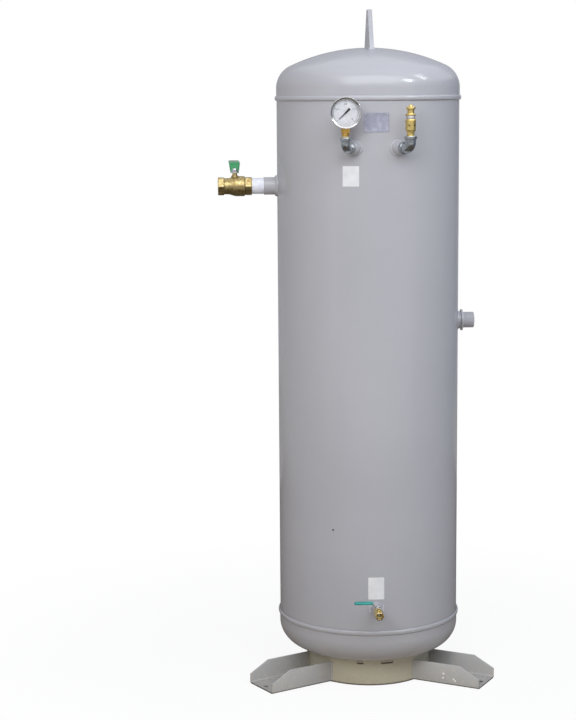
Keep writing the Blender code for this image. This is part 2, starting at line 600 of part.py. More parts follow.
# ---------------------------------------------------------------- pressure gauge
def build_gauge():
    """Bottom-entry dial gauge: case, works and pointer, its face towards the front."""
    column = (-COLUMN_X, COLUMN_Y, 0)
    centre = add_empty("gauge_frame", (-COLUMN_X, COLUMN_Y, GAUGE_HEIGHT), 0, tank_axis)
    facing = {"rotation": FACING_FRONT, "parent": centre}      # heights count towards the front
    front = -GAUGE_FRONT

    back, rim = front - 0.034, front - 0.0065
    # inner side from the axis out, round the rim, and back to the axis down the outer side
    case = [(0, back + 0.0012), (0.0350, back + 0.0012), (0.0373, back + 0.0035), (0.0373, rim),
            (0.0385, rim), (0.0385, back + 0.003), (0.0355, back), (0, back)]
    cup = turned("gauge_case", case, STEEL, 24, **facing)
    combine(cup, prism("gauge_case_hole", 0.0118, -0.06, -0.02, None, sides=12, parent=centre))

    bezel = [(GAUGE_RADIUS - 0.0015, front), (GAUGE_RADIUS, front - 0.0015),
             (GAUGE_RADIUS, front - 0.0095), (0.0385 + GAP, front - 0.0095),
             (0.0385 + GAP, front - 0.0045), (0.0355, front - 0.0030), (0.0365, front)]
    turned("gauge_bezel", bezel, STEEL, 32, closed=True, **facing)
    turned("gauge_glass", [(0, front - 0.0040), (0.0360, front - 0.0040), (0.0370, front - 0.0047),
                           (0.0370, front - 0.0058), (0, front - 0.0058)], GLASS, 24, **facing)
    ring("gauge_dial", 0.0368, 0.0020, front - 0.0125, front - 0.0117, DIAL, 24, **facing)

    # brass stem: pipe thread, square wrench flats and the block inside the case
    top = GAUGE_HEIGHT - 0.0385
    elbow_face = BRANCH_HEIGHT + 0.028
    stem = [(0.0095, top - 0.013), (0.0095, elbow_face + 0.0012),
            (0.0093, elbow_face + 0.0012), (0.0093, elbow_face - 0.012), (0, elbow_face - 0.012)]
    shank = turned("gauge_stem", [(0, top - 0.013)] + stem, BRASS, 16, location=column)
    combine(shank, box("gauge_stem_flats", (-0.0105, -0.010, top - 0.0145), (0.0105, 0.010, top - 0.001),
                       None, location=column), "UNION")
    combine(shank, box("gauge_stem_block", (-0.0075, -0.0065, top - 0.002), (0.0075, 0.0065, top + 0.0135),
                       None, location=column), "UNION")
    combine(shank, prism("gauge_stem_way", 0.0025, elbow_face - 0.02, top + 0.006, None, sides=10,
                         location=column))

    # bourdon tube: a C that starts on the block's back and ends free near the top left
    sweep = [(radians(-62) + radians(262) * i / 18) for i in range(19)]
    coil = [(0.0270 * cos(a), 0.0085, 0.0270 * sin(a)) for a in sweep]
    pipe("gauge_bourdon_tube", coil, 0.0022, BRASS, 2, parent=centre)

    # works: a plate with a pin, a toothed sector on the pin and the pointer's pinion
    pivot = -(PINION_RADIUS + SECTOR_RADIUS)
    plane = front - 0.0160
    bridge = as_mesh(plate("gauge_works_plate",
                           [(-0.005, pivot - 0.0035), (0.005, pivot - 0.0035), (0.005, 0.005),
                            (-0.005, 0.005)], 0.0012, BRASS, location=(0, -plane + 0.0045, 0),
                           rotation=FACING_FRONT, parent=centre))
    combine(bridge, prism("works_pin", 0.0010, plane - 0.0045, plane + 0.0012, None, sides=10,
                          location=(0, 0, pivot), **facing), "UNION")
    combine(bridge, prism("works_bearing", 0.0012 + GAP, -0.03, 0.03, None, sides=10, **facing))
    rim = SECTOR_RADIUS - GAP / 2
    spread = arc(0, 0, rim, radians(52), radians(98), 8)
    hub = arc(0, 0, 0.0032, radians(120), radians(390), 8)
    plate("gauge_sector", spread + hub, 0.0014, BRASS, holes=[circle(0.0010 + GAP, 10)],
          location=(0, -plane, pivot), **{"rotation": FACING_FRONT, "parent": centre})
    pinion = [(0, plane + 0.0068), (0.0012, plane + 0.0068), (0.0012, plane + 0.0011),
              (PINION_RADIUS - GAP / 2, plane + 0.0011), (PINION_RADIUS - GAP / 2, plane - 0.0011),
              (0.0012, plane - 0.0011), (0.0012, plane - 0.0060), (0, plane - 0.0060)]
    turned("gauge_pinion", pinion, STEEL, 12, **facing)

    # pointer: a flat blade with a counterweight, pressed on the pinion's arbor
    tip = 0.0290
    blade = [(tip, 0), (0.004, 0.0013)] + arc(-0.0105, 0, 0.0032, radians(65), radians(295), 7)
    blade += [(0.004, -0.0013)]
    plate("gauge_pointer", blade, 0.0006, BLACK, holes=[circle(0.0012 + GAP / 2, 10)],
          location=(0, -(front - 0.0098), 0), rotation=(pi / 2, -radians(POINTER_REST), 0),
          parent=centre)


# ---------------------------------------------------------------- relief valve
def build_relief_valve():
    """Spring-loaded safety valve: the disc lifts off its seat with the spindle."""
    column = {"location": (COLUMN_X, COLUMN_Y, 0)}
    seat = 1.5310
    elbow_face = BRANCH_HEIGHT + 0.0315
    lower, barrel, cavity = 0.01075, 0.01375, 0.0098
    body = [(barrel, 1.5584), (barrel, 1.5290), (barrel - 0.001, 1.5279), (lower, 1.5279),
            (lower, elbow_face + 0.0010), (0.0115, elbow_face + 0.0010), (0.0115, elbow_face - 0.012),
            (0.0045, elbow_face - 0.012), (0.0045, seat), (cavity, seat), (cavity, 1.5584)]
    case = turned("relief_body", body, BRASS, 18, closed=True, **column)
    for number in range(3):
        hole = prism(f"relief_port_{number}", 0.0024, -0.03, 0.03, None, sides=10,
                     location=(COLUMN_X, COLUMN_Y, 1.5425),
                     rotation=(pi / 2, 0, radians(-21 + 60 * number)))
        combine(case, hole)
    ring("relief_lock_ring", 0.0122, cavity, 1.5587, 1.5674, STEEL, 18, **column)
    collar, neck, spring_room, spindle = 0.0142, 0.0092, 0.0070, 0.0028
    bonnet = [(0.0125, 1.5899), (0.0125, 1.5838), (neck, 1.5838), (neck, 1.5715), (collar, 1.5715),
              (collar, 1.5677), (cavity - GAP, 1.5677), (cavity - GAP, 1.5530),
              (spring_room, 1.5530), (spring_room, 1.5820), (spindle + GAP, 1.5820),
              (spindle + GAP, 1.5899)]
    turned("relief_bonnet", bonnet, BRASS, 18, closed=True, **column)

    disc_top = seat + GAP + 0.0032
    knob_low = RELIEF_TOP - RELIEF_KNOB_HEIGHT
    turned("relief_spindle", [(0, knob_low - GAP), (spindle, knob_low - GAP), (spindle, disc_top),
                              (0.0075, disc_top), (0.0075, seat + GAP), (0, seat + GAP)],
           BRASS, 16, **column)
    turned("relief_knob", [(0, RELIEF_TOP), (0.0034, RELIEF_TOP),
                           (RELIEF_KNOB_RADIUS, RELIEF_TOP - 0.0022),
                           (RELIEF_KNOB_RADIUS, knob_low), (0, knob_low)], BRASS, 12, **column)
    low, high, turns, per_turn = disc_top + 0.0011, 1.5820 - 0.0011, 5, 8
    count = turns * per_turn
    coil = [(0.0052 * cos(tau * i / per_turn), 0.0052 * sin(tau * i / per_turn),
             low + (high - low) * i / count) for i in range(count + 1)]
    pipe("relief_spring", coil, 0.0007, STEEL, 0, **column)


def build_nameplate():
    """Thin metal plate bent to the shell, between the two branches."""
    strip = ring("nameplate", SHELL_RADIUS + 0.0012, SHELL_RADIUS + GAP, PLATE_LOW, PLATE_HIGH,
                 STEEL, TANK_STEPS)
    half = SHELL_RADIUS * sin(radians(PLATE_AZIMUTH))
    combine(strip, box("nameplate_extent", (-half, -0.3, PLATE_LOW - 0.01),
                       (half, -0.2, PLATE_HIGH + 0.01), None), "INTERSECT")


shell = build_vessel()
build_skirt()
for foot_name, foot_angle in FOOT_ANGLES.items():
    build_foot(foot_name, foot_angle)
build_lug()
build_inlet(shell)
build_outlet(shell)
build_drain(shell)
build_branch("gauge", -1, 0.0160, 0.0280, 0.0145, 0.0122, 0.0062, shell)
build_branch("relief", 1, 0.0175, 0.0315, 0.0168, 0.0143, 0.0083, shell)
build_ball_valve("inlet", INLET_VALVE,
                 (-(INLET_VALVE_START + INLET_VALVE["half"]), 0, INLET_HEIGHT), pi, VINYL)
build_ball_valve("drain", DRAIN_VALVE,
                 (0, -(DRAIN_VALVE_START + DRAIN_VALVE["half"]), DRAIN_HEIGHT), -pi / 2, TEAL)
build_gauge()
build_relief_valve()
build_nameplate()
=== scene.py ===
from math import atan2, cos, pi, radians, sin, sqrt, tau

import bmesh
import bpy
from mathutils import Matrix, Vector, noise


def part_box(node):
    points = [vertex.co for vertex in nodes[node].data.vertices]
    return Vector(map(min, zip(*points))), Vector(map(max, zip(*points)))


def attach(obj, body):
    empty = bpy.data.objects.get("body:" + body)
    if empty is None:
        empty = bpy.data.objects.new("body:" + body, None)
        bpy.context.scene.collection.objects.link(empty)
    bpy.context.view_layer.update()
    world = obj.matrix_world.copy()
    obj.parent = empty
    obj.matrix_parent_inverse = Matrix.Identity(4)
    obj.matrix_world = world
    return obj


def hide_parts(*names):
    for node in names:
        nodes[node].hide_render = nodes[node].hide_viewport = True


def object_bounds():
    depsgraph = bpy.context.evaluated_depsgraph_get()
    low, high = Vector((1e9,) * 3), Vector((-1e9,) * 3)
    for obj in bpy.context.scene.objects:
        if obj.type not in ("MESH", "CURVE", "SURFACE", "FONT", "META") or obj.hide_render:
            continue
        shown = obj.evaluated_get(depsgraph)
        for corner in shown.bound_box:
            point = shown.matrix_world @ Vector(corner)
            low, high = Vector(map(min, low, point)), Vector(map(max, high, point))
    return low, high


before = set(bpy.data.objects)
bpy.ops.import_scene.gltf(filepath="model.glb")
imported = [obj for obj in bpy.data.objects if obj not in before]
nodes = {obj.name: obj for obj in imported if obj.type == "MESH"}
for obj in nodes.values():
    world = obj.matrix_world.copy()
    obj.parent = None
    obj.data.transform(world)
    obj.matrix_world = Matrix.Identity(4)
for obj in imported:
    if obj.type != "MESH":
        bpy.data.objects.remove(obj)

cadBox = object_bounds()
scene = bpy.context.scene
scene.view_settings.view_transform = "Standard"

# the tank's own axis stands beside the middle of the whole object's footprint
shellLow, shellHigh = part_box("shell")
axis = Matrix.Translation(((shellLow.x + shellHigh.x) / 2, (shellLow.y + shellHigh.y) / 2, 0))
gap = 0.0003            # air between neighbouring pieces
weldGap = 0.000002      # points closer than this are one


def move(x=0.0, y=0.0, z=0.0):
    return Matrix.Translation((x, y, z))


def turn(degrees, about):
    return Matrix.Rotation(radians(degrees), 4, about)


aroundX = turn(90, "Y")         # a turned piece's height laid along +X
facingFront = turn(90, "X")     # and along -Y


def toObject(shape, name="blank"):
    mesh = bpy.data.meshes.new(name)
    shape.to_mesh(mesh)
    shape.free()
    thing = bpy.data.objects.new(name, mesh)
    scene.collection.objects.link(thing)
    return thing


# camera, stage and lights

viewpoint = {"place": (-0.42407, -4.96613, 1.6316), "heading": 2.725, "pitch": 8.503,
             "roll": -0.418, "lens": 89.83}

cameraData = bpy.data.cameras.new("camera")
cameraData.lens = viewpoint["lens"]
cameraData.clip_end = 200
camera = bpy.data.objects.new("camera", cameraData)
scene.collection.objects.link(camera)
camera.matrix_world = (move(*viewpoint["place"]) @ turn(-viewpoint["heading"], "Z")
                       @ turn(90 - viewpoint["pitch"], "X") @ turn(viewpoint["roll"], "Z"))
scene.camera = camera


def feed(tree, socket, value):
    if isinstance(value, Signal):
        tree.links.new(value.socket, socket)
    else:
        socket.default_value = value


class Signal:
    # one socket's value, so that shader maths can be written as sums
    def __init__(self, tree, socket):
        self.tree = tree
        self.socket = socket

    def combine(self, operation, other, reflected=False):
        node = self.tree.nodes.new("ShaderNodeMath")
        node.operation = operation
        terms = (other, self) if reflected else (self, other)
        for socket, term in zip(node.inputs, terms):
            feed(self.tree, socket, term)
        return Signal(self.tree, node.outputs[0])

    def __add__(self, other):
        return self.combine("ADD", other)

    def __radd__(self, other):
        return self.combine("ADD", other, True)

    def __sub__(self, other):
        return self.combine("SUBTRACT", other)

    def __rsub__(self, other):
        return self.combine("SUBTRACT", other, True)

    def __mul__(self, other):
        return self.combine("MULTIPLY", other)

    def __rmul__(self, other):
        return self.combine("MULTIPLY", other, True)

    def __gt__(self, other):
        return self.combine("GREATER_THAN", other)


class Bench:
    # builds one node tree
    def __init__(self, tree):
        self.tree = tree
        tree.nodes.clear()

    def add(self, kind, settings=None, sockets=None, output=0):
        node = self.tree.nodes.new("ShaderNode" + kind)
        for name, value in (settings or {}).items():
            if name == "stops":
                while len(node.color_ramp.elements) < len(value):
                    node.color_ramp.elements.new(0.5)
                for stop, (position, colour) in zip(node.color_ramp.elements, value):
                    stop.position = position
                    stop.color = colour
            else:
                setattr(node, name, value)
        for name, value in (sockets or {}).items():
            feed(self.tree, node.inputs[name], value)
        return Signal(self.tree, node.outputs[output])

    def place(self, scale=(1, 1, 1)):
        here = self.add("TexCoord", output="Object")
        return self.add("Mapping", {}, {"Vector": here, "Scale": scale})

    def grain(self, scale, detail=3.0, roughness=0.5, vector=None):
        return self.add("TexNoise", {}, {"Vector": vector or self.place(), "Scale": scale,
                                         "Detail": detail, "Roughness": roughness})

    def spread(self, mask, low, high, start=0.3, end=0.7):
        return self.add("MapRange", {"clamp": True}, {
            "Value": mask, "From Min": start, "From Max": end, "To Min": low, "To Max": high})

    def mix(self, mask, low, high):
        return self.add("Mix", {"data_type": "RGBA"}, {0: mask, 6: low, 7: high}, 2)

    def bump(self, height, distance, strength=1.0, under=None):
        sockets = {"Height": height, "Distance": distance, "Strength": strength}
        if under:
            sockets["Normal"] = under
        return self.add("Bump", {}, sockets)

    def finish(self, surface, target="OutputMaterial"):
        feed(self.tree, self.tree.nodes.new("ShaderNode" + target).inputs["Surface"], surface)


def tint(red, green, blue):
    # screen values 0 to 255, as linear colour
    return (*[(v / 255 / 12.92) if v < 11 else ((v / 255 + 0.055) / 1.055) ** 2.4
              for v in (red, green, blue)], 1)


def newMaterial(name):
    material = bpy.data.materials.new(name)
    material.use_nodes = True
    return material, Bench(material.node_tree)


def seenRays(bench):
    # rays that meet the background as seen, in a mirror or through glass
    camera = bench.add("LightPath", output="Is Camera Ray")
    glossy = bench.add("LightPath", output="Is Glossy Ray")
    through = bench.add("LightPath", output="Is Transmission Ray")
    return (camera + glossy + through) > 0.5


sky = {"high": (0.86, 0.90, 1.0, 1), "left": (0.66, 0.62, 0.56, 1), "right": (0.45, 0.56, 0.78, 1),
       "strength": 0.47}
ground = {"size": 40.0, "colour": (0.60, 0.54, 0.46, 1), "shadowShare": 0.10, "clearFrom": 0.55,
          "clearTo": 1.5, "underSkirt": 0.165, "drop": 0.0004}
flags = {   # cloths that only reflections show: lowest corner, highest corner, tone
    "floorCloth": ((-2.6, -3.4, 0.0004), (2.9, 2.4, 0.0004), (0.130, 0.112, 0.095, 1)),
    "leftCloth": ((-2.6, -4.0, 0.0), (-2.6, 5.0, 4.5), (0.48, 0.49, 0.51, 1)),
    "rearFloorCloth": ((-4.0, 2.42, 0.0004), (4.0, 5.0, 0.0004), (0.34, 0.33, 0.33, 1)),
    "glintCloth": ((1.74, -1.9, 2.82), (2.42, -1.9, 3.28), (21.0, 21.0, 21.5, 1)),
    "windowCloth": ((-3.1, -2.3, 0.2), (-2.3, -2.3, 1.75), (1.05, 1.05, 1.0, 1)),
    "highWindowCloth": ((-3.1, -2.3, 1.75), (-2.2, -2.3, 2.9), (2.3, 2.3, 2.3, 1)),
    "rightCloth": ((2.9, -2.4, 0.0), (2.9, 5.0, 2.6), (0.17, 0.19, 0.24, 1)),
    "roomCloth": ((-8.0, -6.6, 0.0), (8.0, -6.6, 2.3), (0.36, 0.36, 0.38, 1)),
    "backCloth": ((-5.0, 5.0, 0.0), (5.0, 5.0, 5.5), (0.42, 0.43, 0.46, 1)),
}


def buildWorld():
    world = bpy.data.worlds.new("studio")
    world.use_nodes = True
    scene.world = world
    bench = Bench(world.node_tree)
    direction = bench.add("TexCoord", output="Generated")
    across = bench.add("SeparateXYZ", {}, {"Vector": direction}, "X")
    height = bench.add("SeparateXYZ", {}, {"Vector": direction}, "Z")
    low = bench.mix(bench.spread(across, 0.0, 1.0, -0.8, 0.8), sky["left"], sky["right"])
    colour = bench.mix(bench.spread(height, 0.0, 1.0, 0.0, 0.8), low, sky["high"])
    lit = bench.add("Background", {}, {"Color": colour, "Strength": sky["strength"]})
    seen = bench.add("Background", {}, {"Color": (1, 1, 1, 1), "Strength": 1.0})
    bench.finish(bench.add("MixShader", {}, {0: seenRays(bench), 1: lit, 2: seen}), "OutputWorld")


def buildFloor():
    shape = bmesh.new()
    bmesh.ops.create_grid(shape, x_segments=1, y_segments=1, size=ground["size"])
    floor = toObject(shape, "floor")
    floor.location.z = cadBox[0].z - ground["drop"]
    material, bench = newMaterial("paleFloor")
    plain = bench.add("BsdfDiffuse", {}, {"Color": ground["colour"]})
    shaded = bench.add("BsdfDiffuse", {}, {"Color": (0.95, 0.95, 0.95, 1)})
    white = bench.add("Emission", {}, {"Color": (1, 1, 1, 1), "Strength": 1.0})
    far = bench.add("VectorMath", {"operation": "LENGTH"}, {0: bench.place()}, "Value")
    share = bench.spread(far, 1 - ground["shadowShare"], 1.0, ground["clearFrom"],
                         ground["clearTo"])
    share = share * (far > ground["underSkirt"])
    visible = bench.add("MixShader", {}, {0: share, 1: shaded, 2: white})
    bench.finish(bench.add("MixShader", {}, {0: seenRays(bench), 1: plain, 2: visible}))
    floor.data.materials.append(material)


def buildFlags():
    for name, (low, high, tone) in flags.items():
        low, high = Vector(low), Vector(high)
        upright = high.z - low.z > 0.1
        rise = Vector((0, 0, high.z - low.z)) if upright else Vector((high.x - low.x, 0, 0))
        shape = bmesh.new()
        corners = [low, low + rise, high, high - rise]
        shape.faces.new([shape.verts.new(corner) for corner in corners])
        cloth = toObject(shape, name)
        material, bench = newMaterial(name)
        bench.finish(bench.add("Emission", {}, {"Color": tone, "Strength": 1.0}))
        cloth.data.materials.append(material)
        cloth.visible_camera = False
        cloth.visible_diffuse = False
        cloth.visible_transmission = False
        cloth.visible_shadow = False


lamps = {
    "skyPanel": {"place": (-0.1, -3.2, 3.9), "aim": (0.0, 0.0, 1.2), "size": (5.0, 2.4),
                 "power": 110, "colour": (0.95, 0.97, 1.0)},
    "sideLamp": {"place": (2.12, -1.95, 3.06), "aim": (0.12, -0.245, 1.4), "size": (0.66, 0.26),
                 "power": 10.5, "colour": (0.76, 0.90, 1.0)},
    "keyLamp": {"place": (-2.1, -4.2, 2.9), "aim": (0.0, 0.0, 1.0), "size": (1.3, 1.3), "power": 38,
                "colour": (1.0, 0.985, 0.945), "mirrored": False},
    "stripLamp": {"place": (2.52, -0.75, 3.44), "aim": (0.15, -0.22, 1.66), "size": (0.15, 1.1),
                  "power": 11, "colour": (1.0, 1.0, 1.0)},
}


def buildLamps():
    for name, lamp in lamps.items():
        light = bpy.data.lights.new(name, "AREA")
        light.shape = "RECTANGLE"
        light.size, light.size_y = lamp["size"]
        light.energy = lamp["power"]
        light.color = lamp["colour"]
        thing = bpy.data.objects.new(name, light)
        thing.location = lamp["place"]
        aim = Vector(lamp["aim"]) - Vector(lamp["place"])
        thing.rotation_euler = aim.to_track_quat("-Z", "Y").to_euler()
        thing.visible_camera = False
        thing.visible_glossy = lamp.get("mirrored", True)
        scene.collection.objects.link(thing)


buildWorld()
buildFloor()
buildFlags()
buildLamps()
print("camera and stage ready")


# finishes

sprayed = {"drift": 2.2, "fine": 55.0, "speck": 240.0, "scuff": 90.0, "peel": 420.0, "wave": 7.0,
           "shade": (0.12, 0.40), "dust": 0.24, "scuffed": (0.02, 0.06), "worn": (0.0025, 0.0055),
           "gloss": (0.15, 0.21), "specular": 0.48}


def makeEnamel(name, base, marks=()):
    # sprayed enamel on rolled plate: slight drift of tone, orange peel; low down, painted shade,
    # dust with a painted warm reflection of the floor, and grime with a painted contact shadow at
    # the very bottom edge
    material, bench = newMaterial(name)
    dim, low, high = [tuple(v * k for v in base[:3]) + (1,) for k in (0.82, 0.965, 1.035)]
    broad = bench.grain(sprayed["drift"], 4.0, 0.6)
    fine = bench.grain(sprayed["fine"], 4.0, 0.6)
    colour = bench.mix(bench.spread(broad, 0.0, 1.0), low, high)
    speck = bench.spread(bench.grain(sprayed["speck"], 2.0, 0.6), 0.0, 0.5, 0.66, 0.78)
    colour = bench.mix(speck, colour, dim)
    height = bench.add("SeparateXYZ", {}, {"Vector": bench.place()}, "Z")
    # painted shade: up to a tenth darker, towards black, fully below 0.12 m and fading out by 0.40
    # m
    colour = bench.mix(bench.spread(height, 0.10, 0.0, *sprayed["shade"]), colour, (0, 0, 0, 1))
    # dust with a painted warm reflection of the floor: a warm tint low down, fading out by 0.24 m;
    # the dust also roughens the enamel
    dust = bench.spread(height, 1.0, 0.0, 0.0, sprayed["dust"]) * bench.spread(fine, 0.05, 0.42)
    colour = bench.mix(dust, colour, tint(196, 186, 166))
    scuff = bench.spread(height, 1.0, 0.0, *sprayed["scuffed"]) * bench.spread(
        bench.grain(sprayed["scuff"], 5.0, 0.7), 0.0, 0.55, 0.60, 0.72)
    colour = bench.mix(scuff, colour, tint(148, 142, 132))
    # grime with a painted contact shadow: a dark brown band along the very bottom edge, below 5.5
    # mm
    worn = bench.spread(height, 0.85, 0.0, *sprayed["worn"])
    colour = bench.mix(worn, colour, tint(74, 62, 56))
    for point, size, shade, ragged in marks:
        away = bench.add("VectorMath", {"operation": "DISTANCE"},
                         {0: bench.place(), 1: tuple(point)}, "Value")
        edge = away + bench.grain(sprayed["peel"], 3.0, 0.6) * (size * ragged)
        colour = bench.mix(bench.spread(edge, 1.0, 0.0, size, size * 1.25), colour, shade)
    roughness = bench.spread(fine, *sprayed["gloss"]) + dust * 0.28
    waves = bench.bump(bench.grain(sprayed["wave"], 2.0, 0.5), 0.0016, 0.30)
    peel = bench.bump(bench.grain(sprayed["peel"], 2.0, 0.5), 0.00012, 0.45, waves)
    bench.finish(bench.add("BsdfPrincipled", {}, {
        "Base Color": colour, "Roughness": roughness, "Normal": peel,
        "Specular IOR Level": sprayed["specular"]}))
    return material


def makeMetal(name, light, dark, low, high, cast=0.0, patch=18.0, stain=None, brushed=None,
              fineDepth=0.00005):
    # bare metal: light and dark tones in soft patches, with cast skin or fine tool marks
    material, bench = newMaterial(name)
    cloud = bench.grain(patch, 5.0, 0.62)
    fine = bench.grain(patch * 22, 3.0, 0.6)
    colour = bench.mix(bench.spread(cloud, 0.0, 1.0), dark, light)
    if stain:
        spots = bench.spread(bench.grain(patch * 2, 4.0, 0.7), 0.0, 0.75, 0.52, 0.68)
        colour = bench.mix(spots, colour, stain)
    roughness = bench.spread(cloud * 0.5 + fine * 0.5, low, high)
    marks = bench.grain(1.0, 3.0, 0.6, bench.place(brushed)) if brushed else fine
    skin = bench.bump(marks, fineDepth, 0.35)
    if cast:
        skin = bench.bump(bench.grain(900.0, 2.0, 0.6), cast, 0.7, skin)
    bench.finish(bench.add("BsdfPrincipled", {}, {
        "Base Color": colour, "Roughness": roughness, "Metallic": 1.0, "Normal": skin}))
    return material


def makePlain(name, light, dark, low, high, scale=60.0, bump=0.0001, coat=0.0, ribs=None):
    # plastic, tape, print or paper: two close tones, a little relief
    material, bench = newMaterial(name)
    cloud = bench.grain(scale, 4.0, 0.6)
    colour = bench.mix(bench.spread(cloud, 0.0, 1.0), dark, light)
    roughness = bench.spread(bench.grain(scale * 5, 3.0, 0.6), low, high)
    relief = bench.bump(bench.grain(scale * 8, 2.0, 0.5), bump, 0.5)
    if ribs:
        wave = bench.add("TexWave", {"bands_direction": "X"}, {
            "Vector": bench.place(), "Scale": ribs, "Distortion": 1.4, "Detail": 2.0,
            "Detail Scale": 2.5}, "Fac")
        # painted shade: the colour darkens in the grooves between the ribs
        colour = bench.mix(bench.spread(wave, 0.34, 0.0, 0.0, 0.45), colour, dark)
        relief = bench.bump(wave, bump * 2, 0.6, relief)
    bench.finish(bench.add("BsdfPrincipled", {}, {
        "Base Color": colour, "Roughness": roughness, "Normal": relief, "Coat Weight": coat,
        "Coat Roughness": 0.15}))
    return material


def makeGlass(name):
    material, bench = newMaterial(name)
    haze = bench.spread(bench.grain(40.0, 4.0, 0.6), 0.0, 0.035)
    bench.finish(bench.add("BsdfPrincipled", {}, {
        "Base Color": (0.98, 0.98, 0.985, 1), "Roughness": haze, "Transmission Weight": 1.0,
        "IOR": 1.18}))
    return material


# small marks in the paint, in the tank's own frame: one dark spot, and white chips on the right
# foot, painted bright as glints
spot = turn(-27.5, "Z") @ Vector((0, -0.250, 0.456))
glintChips = ((0.1932, -0.1791, 0.0313), (0.1919, -0.1784, 0.0190), (0.2192, -0.1941, 0.0194),
         (0.2231, -0.1963, 0.0145))
enamel = makeEnamel("greyEnamel", tint(184, 184, 190),
                    [(axis @ spot, 0.0034, tint(92, 88, 86), 0.5)])
# the skirt's enamel is warmer than the tank's grey: a painted warm reflection of the floor
skirtBounceEnamel = makeEnamel("skirtBounceEnamel", tint(208, 202, 180))
# the feet's lighter base offsets the painted shade low down; the white chips on the right foot are
# painted bright as glints
footEnamel = makeEnamel("footEnamel", tint(196, 196, 197),
                        [(axis @ Vector(p), 0.0040, tint(250, 250, 246), 0.9) for p in glintChips])
castBrass = makeMetal("castBrass", (0.70, 0.585, 0.31, 1), (0.26, 0.17, 0.05, 1), 0.30, 0.46,
                      cast=0.00030, patch=150.0, stain=(0.13, 0.07, 0.02, 1))
turnedBrass = makeMetal("turnedBrass", (0.96, 0.82, 0.44, 1), (0.66, 0.48, 0.15, 1), 0.15, 0.28,
                        patch=60.0, stain=(0.36, 0.25, 0.06, 1))
dullBrass = makeMetal("dullBrass", (0.94, 0.76, 0.33, 1), (0.66, 0.48, 0.15, 1), 0.30, 0.44,
                      patch=60.0, stain=(0.42, 0.27, 0.06, 1))
satinSteel = makeMetal("satinSteel", (0.86, 0.83, 0.83, 1), (0.70, 0.67, 0.67, 1), 0.34, 0.46,
                       patch=50.0)
amberBrass = makeMetal("amberBrass", (0.80, 0.52, 0.15, 1), (0.46, 0.26, 0.05, 1), 0.26, 0.40,
                       patch=70.0, stain=(0.28, 0.14, 0.02, 1))
zinc = makeMetal("zincCoat", (0.60, 0.63, 0.65, 1), (0.31, 0.34, 0.36, 1), 0.20, 0.32,
                 cast=0.00006, patch=45.0)
steel = makeMetal("brightSteel", (0.80, 0.81, 0.82, 1), (0.62, 0.63, 0.65, 1), 0.12, 0.24,
                  patch=30.0, brushed=(40, 40, 900))
chrome = makeMetal("polishedSteel", (0.84, 0.84, 0.84, 1), (0.72, 0.72, 0.73, 1), 0.19, 0.25,
                   patch=40.0, fineDepth=0.00001)
plateMetal = makePlain("plateMetal", tint(176, 176, 193), tint(148, 150, 168), 0.42, 0.55, 70.0,
                       0.00003)
springSteel = makeMetal("springSteel", (0.55, 0.55, 0.56, 1), (0.38, 0.38, 0.40, 1), 0.25, 0.4)
tape = makePlain("sealTape", tint(250, 252, 255), tint(218, 222, 240), 0.42, 0.58, 45.0, 0.0001,
                 0.0, 130.0)
oldTape = makePlain("oldTape", tint(206, 196, 164), tint(178, 164, 124), 0.45, 0.6, 90.0, 0.0001)
softWhite = makePlain("whitePlastic", tint(236, 236, 232), tint(222, 222, 216), 0.35, 0.5)
greenVinyl = makePlain("greenVinyl", tint(22, 150, 84), tint(14, 118, 66), 0.30, 0.46, 30.0,
                       0.00015, 0.6)
tealVinyl = makePlain("tealVinyl", tint(40, 166, 156), tint(24, 138, 132), 0.30, 0.46, 40.0,
                      0.00012, 0.15)
dialWhite = makePlain("dialWhite", tint(209, 209, 213), tint(190, 192, 198), 0.45, 0.6, 110.0,
                      0.00003)
inkBlack = makePlain("inkBlack", tint(44, 46, 50), tint(26, 27, 30), 0.40, 0.55, 120.0, 0.00003)
labelPaper = makePlain("labelPaper", tint(240, 240, 242), tint(226, 226, 230), 0.32, 0.5, 40.0,
                       0.00004, 0.1)
fadedPaper = makePlain("fadedPaper", tint(208, 208, 216), tint(188, 187, 196), 0.4, 0.55, 60.0,
                       0.00004)
glass = makeGlass("clearGlass")
print("finishes ready")


# modelling helpers

def cleaned(shape):
    bmesh.ops.remove_doubles(shape, verts=shape.verts, dist=weldGap)
    return shape


def outward(shape):
    bmesh.ops.recalc_face_normals(shape, faces=shape.faces)
    return shape


def moved(shape, matrix):
    bmesh.ops.transform(shape, matrix=matrix, verts=shape.verts)
    return shape


def softened(points, radius, closed=False, steps=3):
    # every corner of an outline becomes a short curve
    result = []
    last = len(points) - 1
    for i, point in enumerate(points):
        if not closed and i in (0, last):
            result.append(point)
            continue
        here, before = Vector(point[:2]), Vector(points[i - 1][:2])
        after = Vector(points[(i + 1) % len(points)][:2])
        reach = min(radius, (before - here).length * 0.45, (after - here).length * 0.45)
        start = here + (before - here).normalized() * reach
        end = here + (after - here).normalized() * reach
        for k in range(steps + 1):
            t = k / steps
            mid = start.lerp(here, t).lerp(here.lerp(end, t), t)
            result.append((*mid, *point[2:]))
    return result


def ridges(radius, start, end, pitch, depth):
    # side view of a screw thread, as (radius, height) points
    count = max(2, round(abs(end - start) / pitch))
    points = []
    for i in range(count):
        low = start + (end - start) * i / count
        points += [(radius, low), (radius + depth, low + (end - start) * 0.5 / count)]
    return points + [(radius, end)]


def tube(outer, inner, high, low):
    # side view of a plain tube
    return [(outer, high), (outer, low), (inner, low), (inner, high)]


def socket(outer, bore, thread, high, low, step):
    # side view of a tube with a wider bore at its high end
    return [(outer, high), (outer, low), (bore, low), (bore, step), (thread, step), (thread, high)]


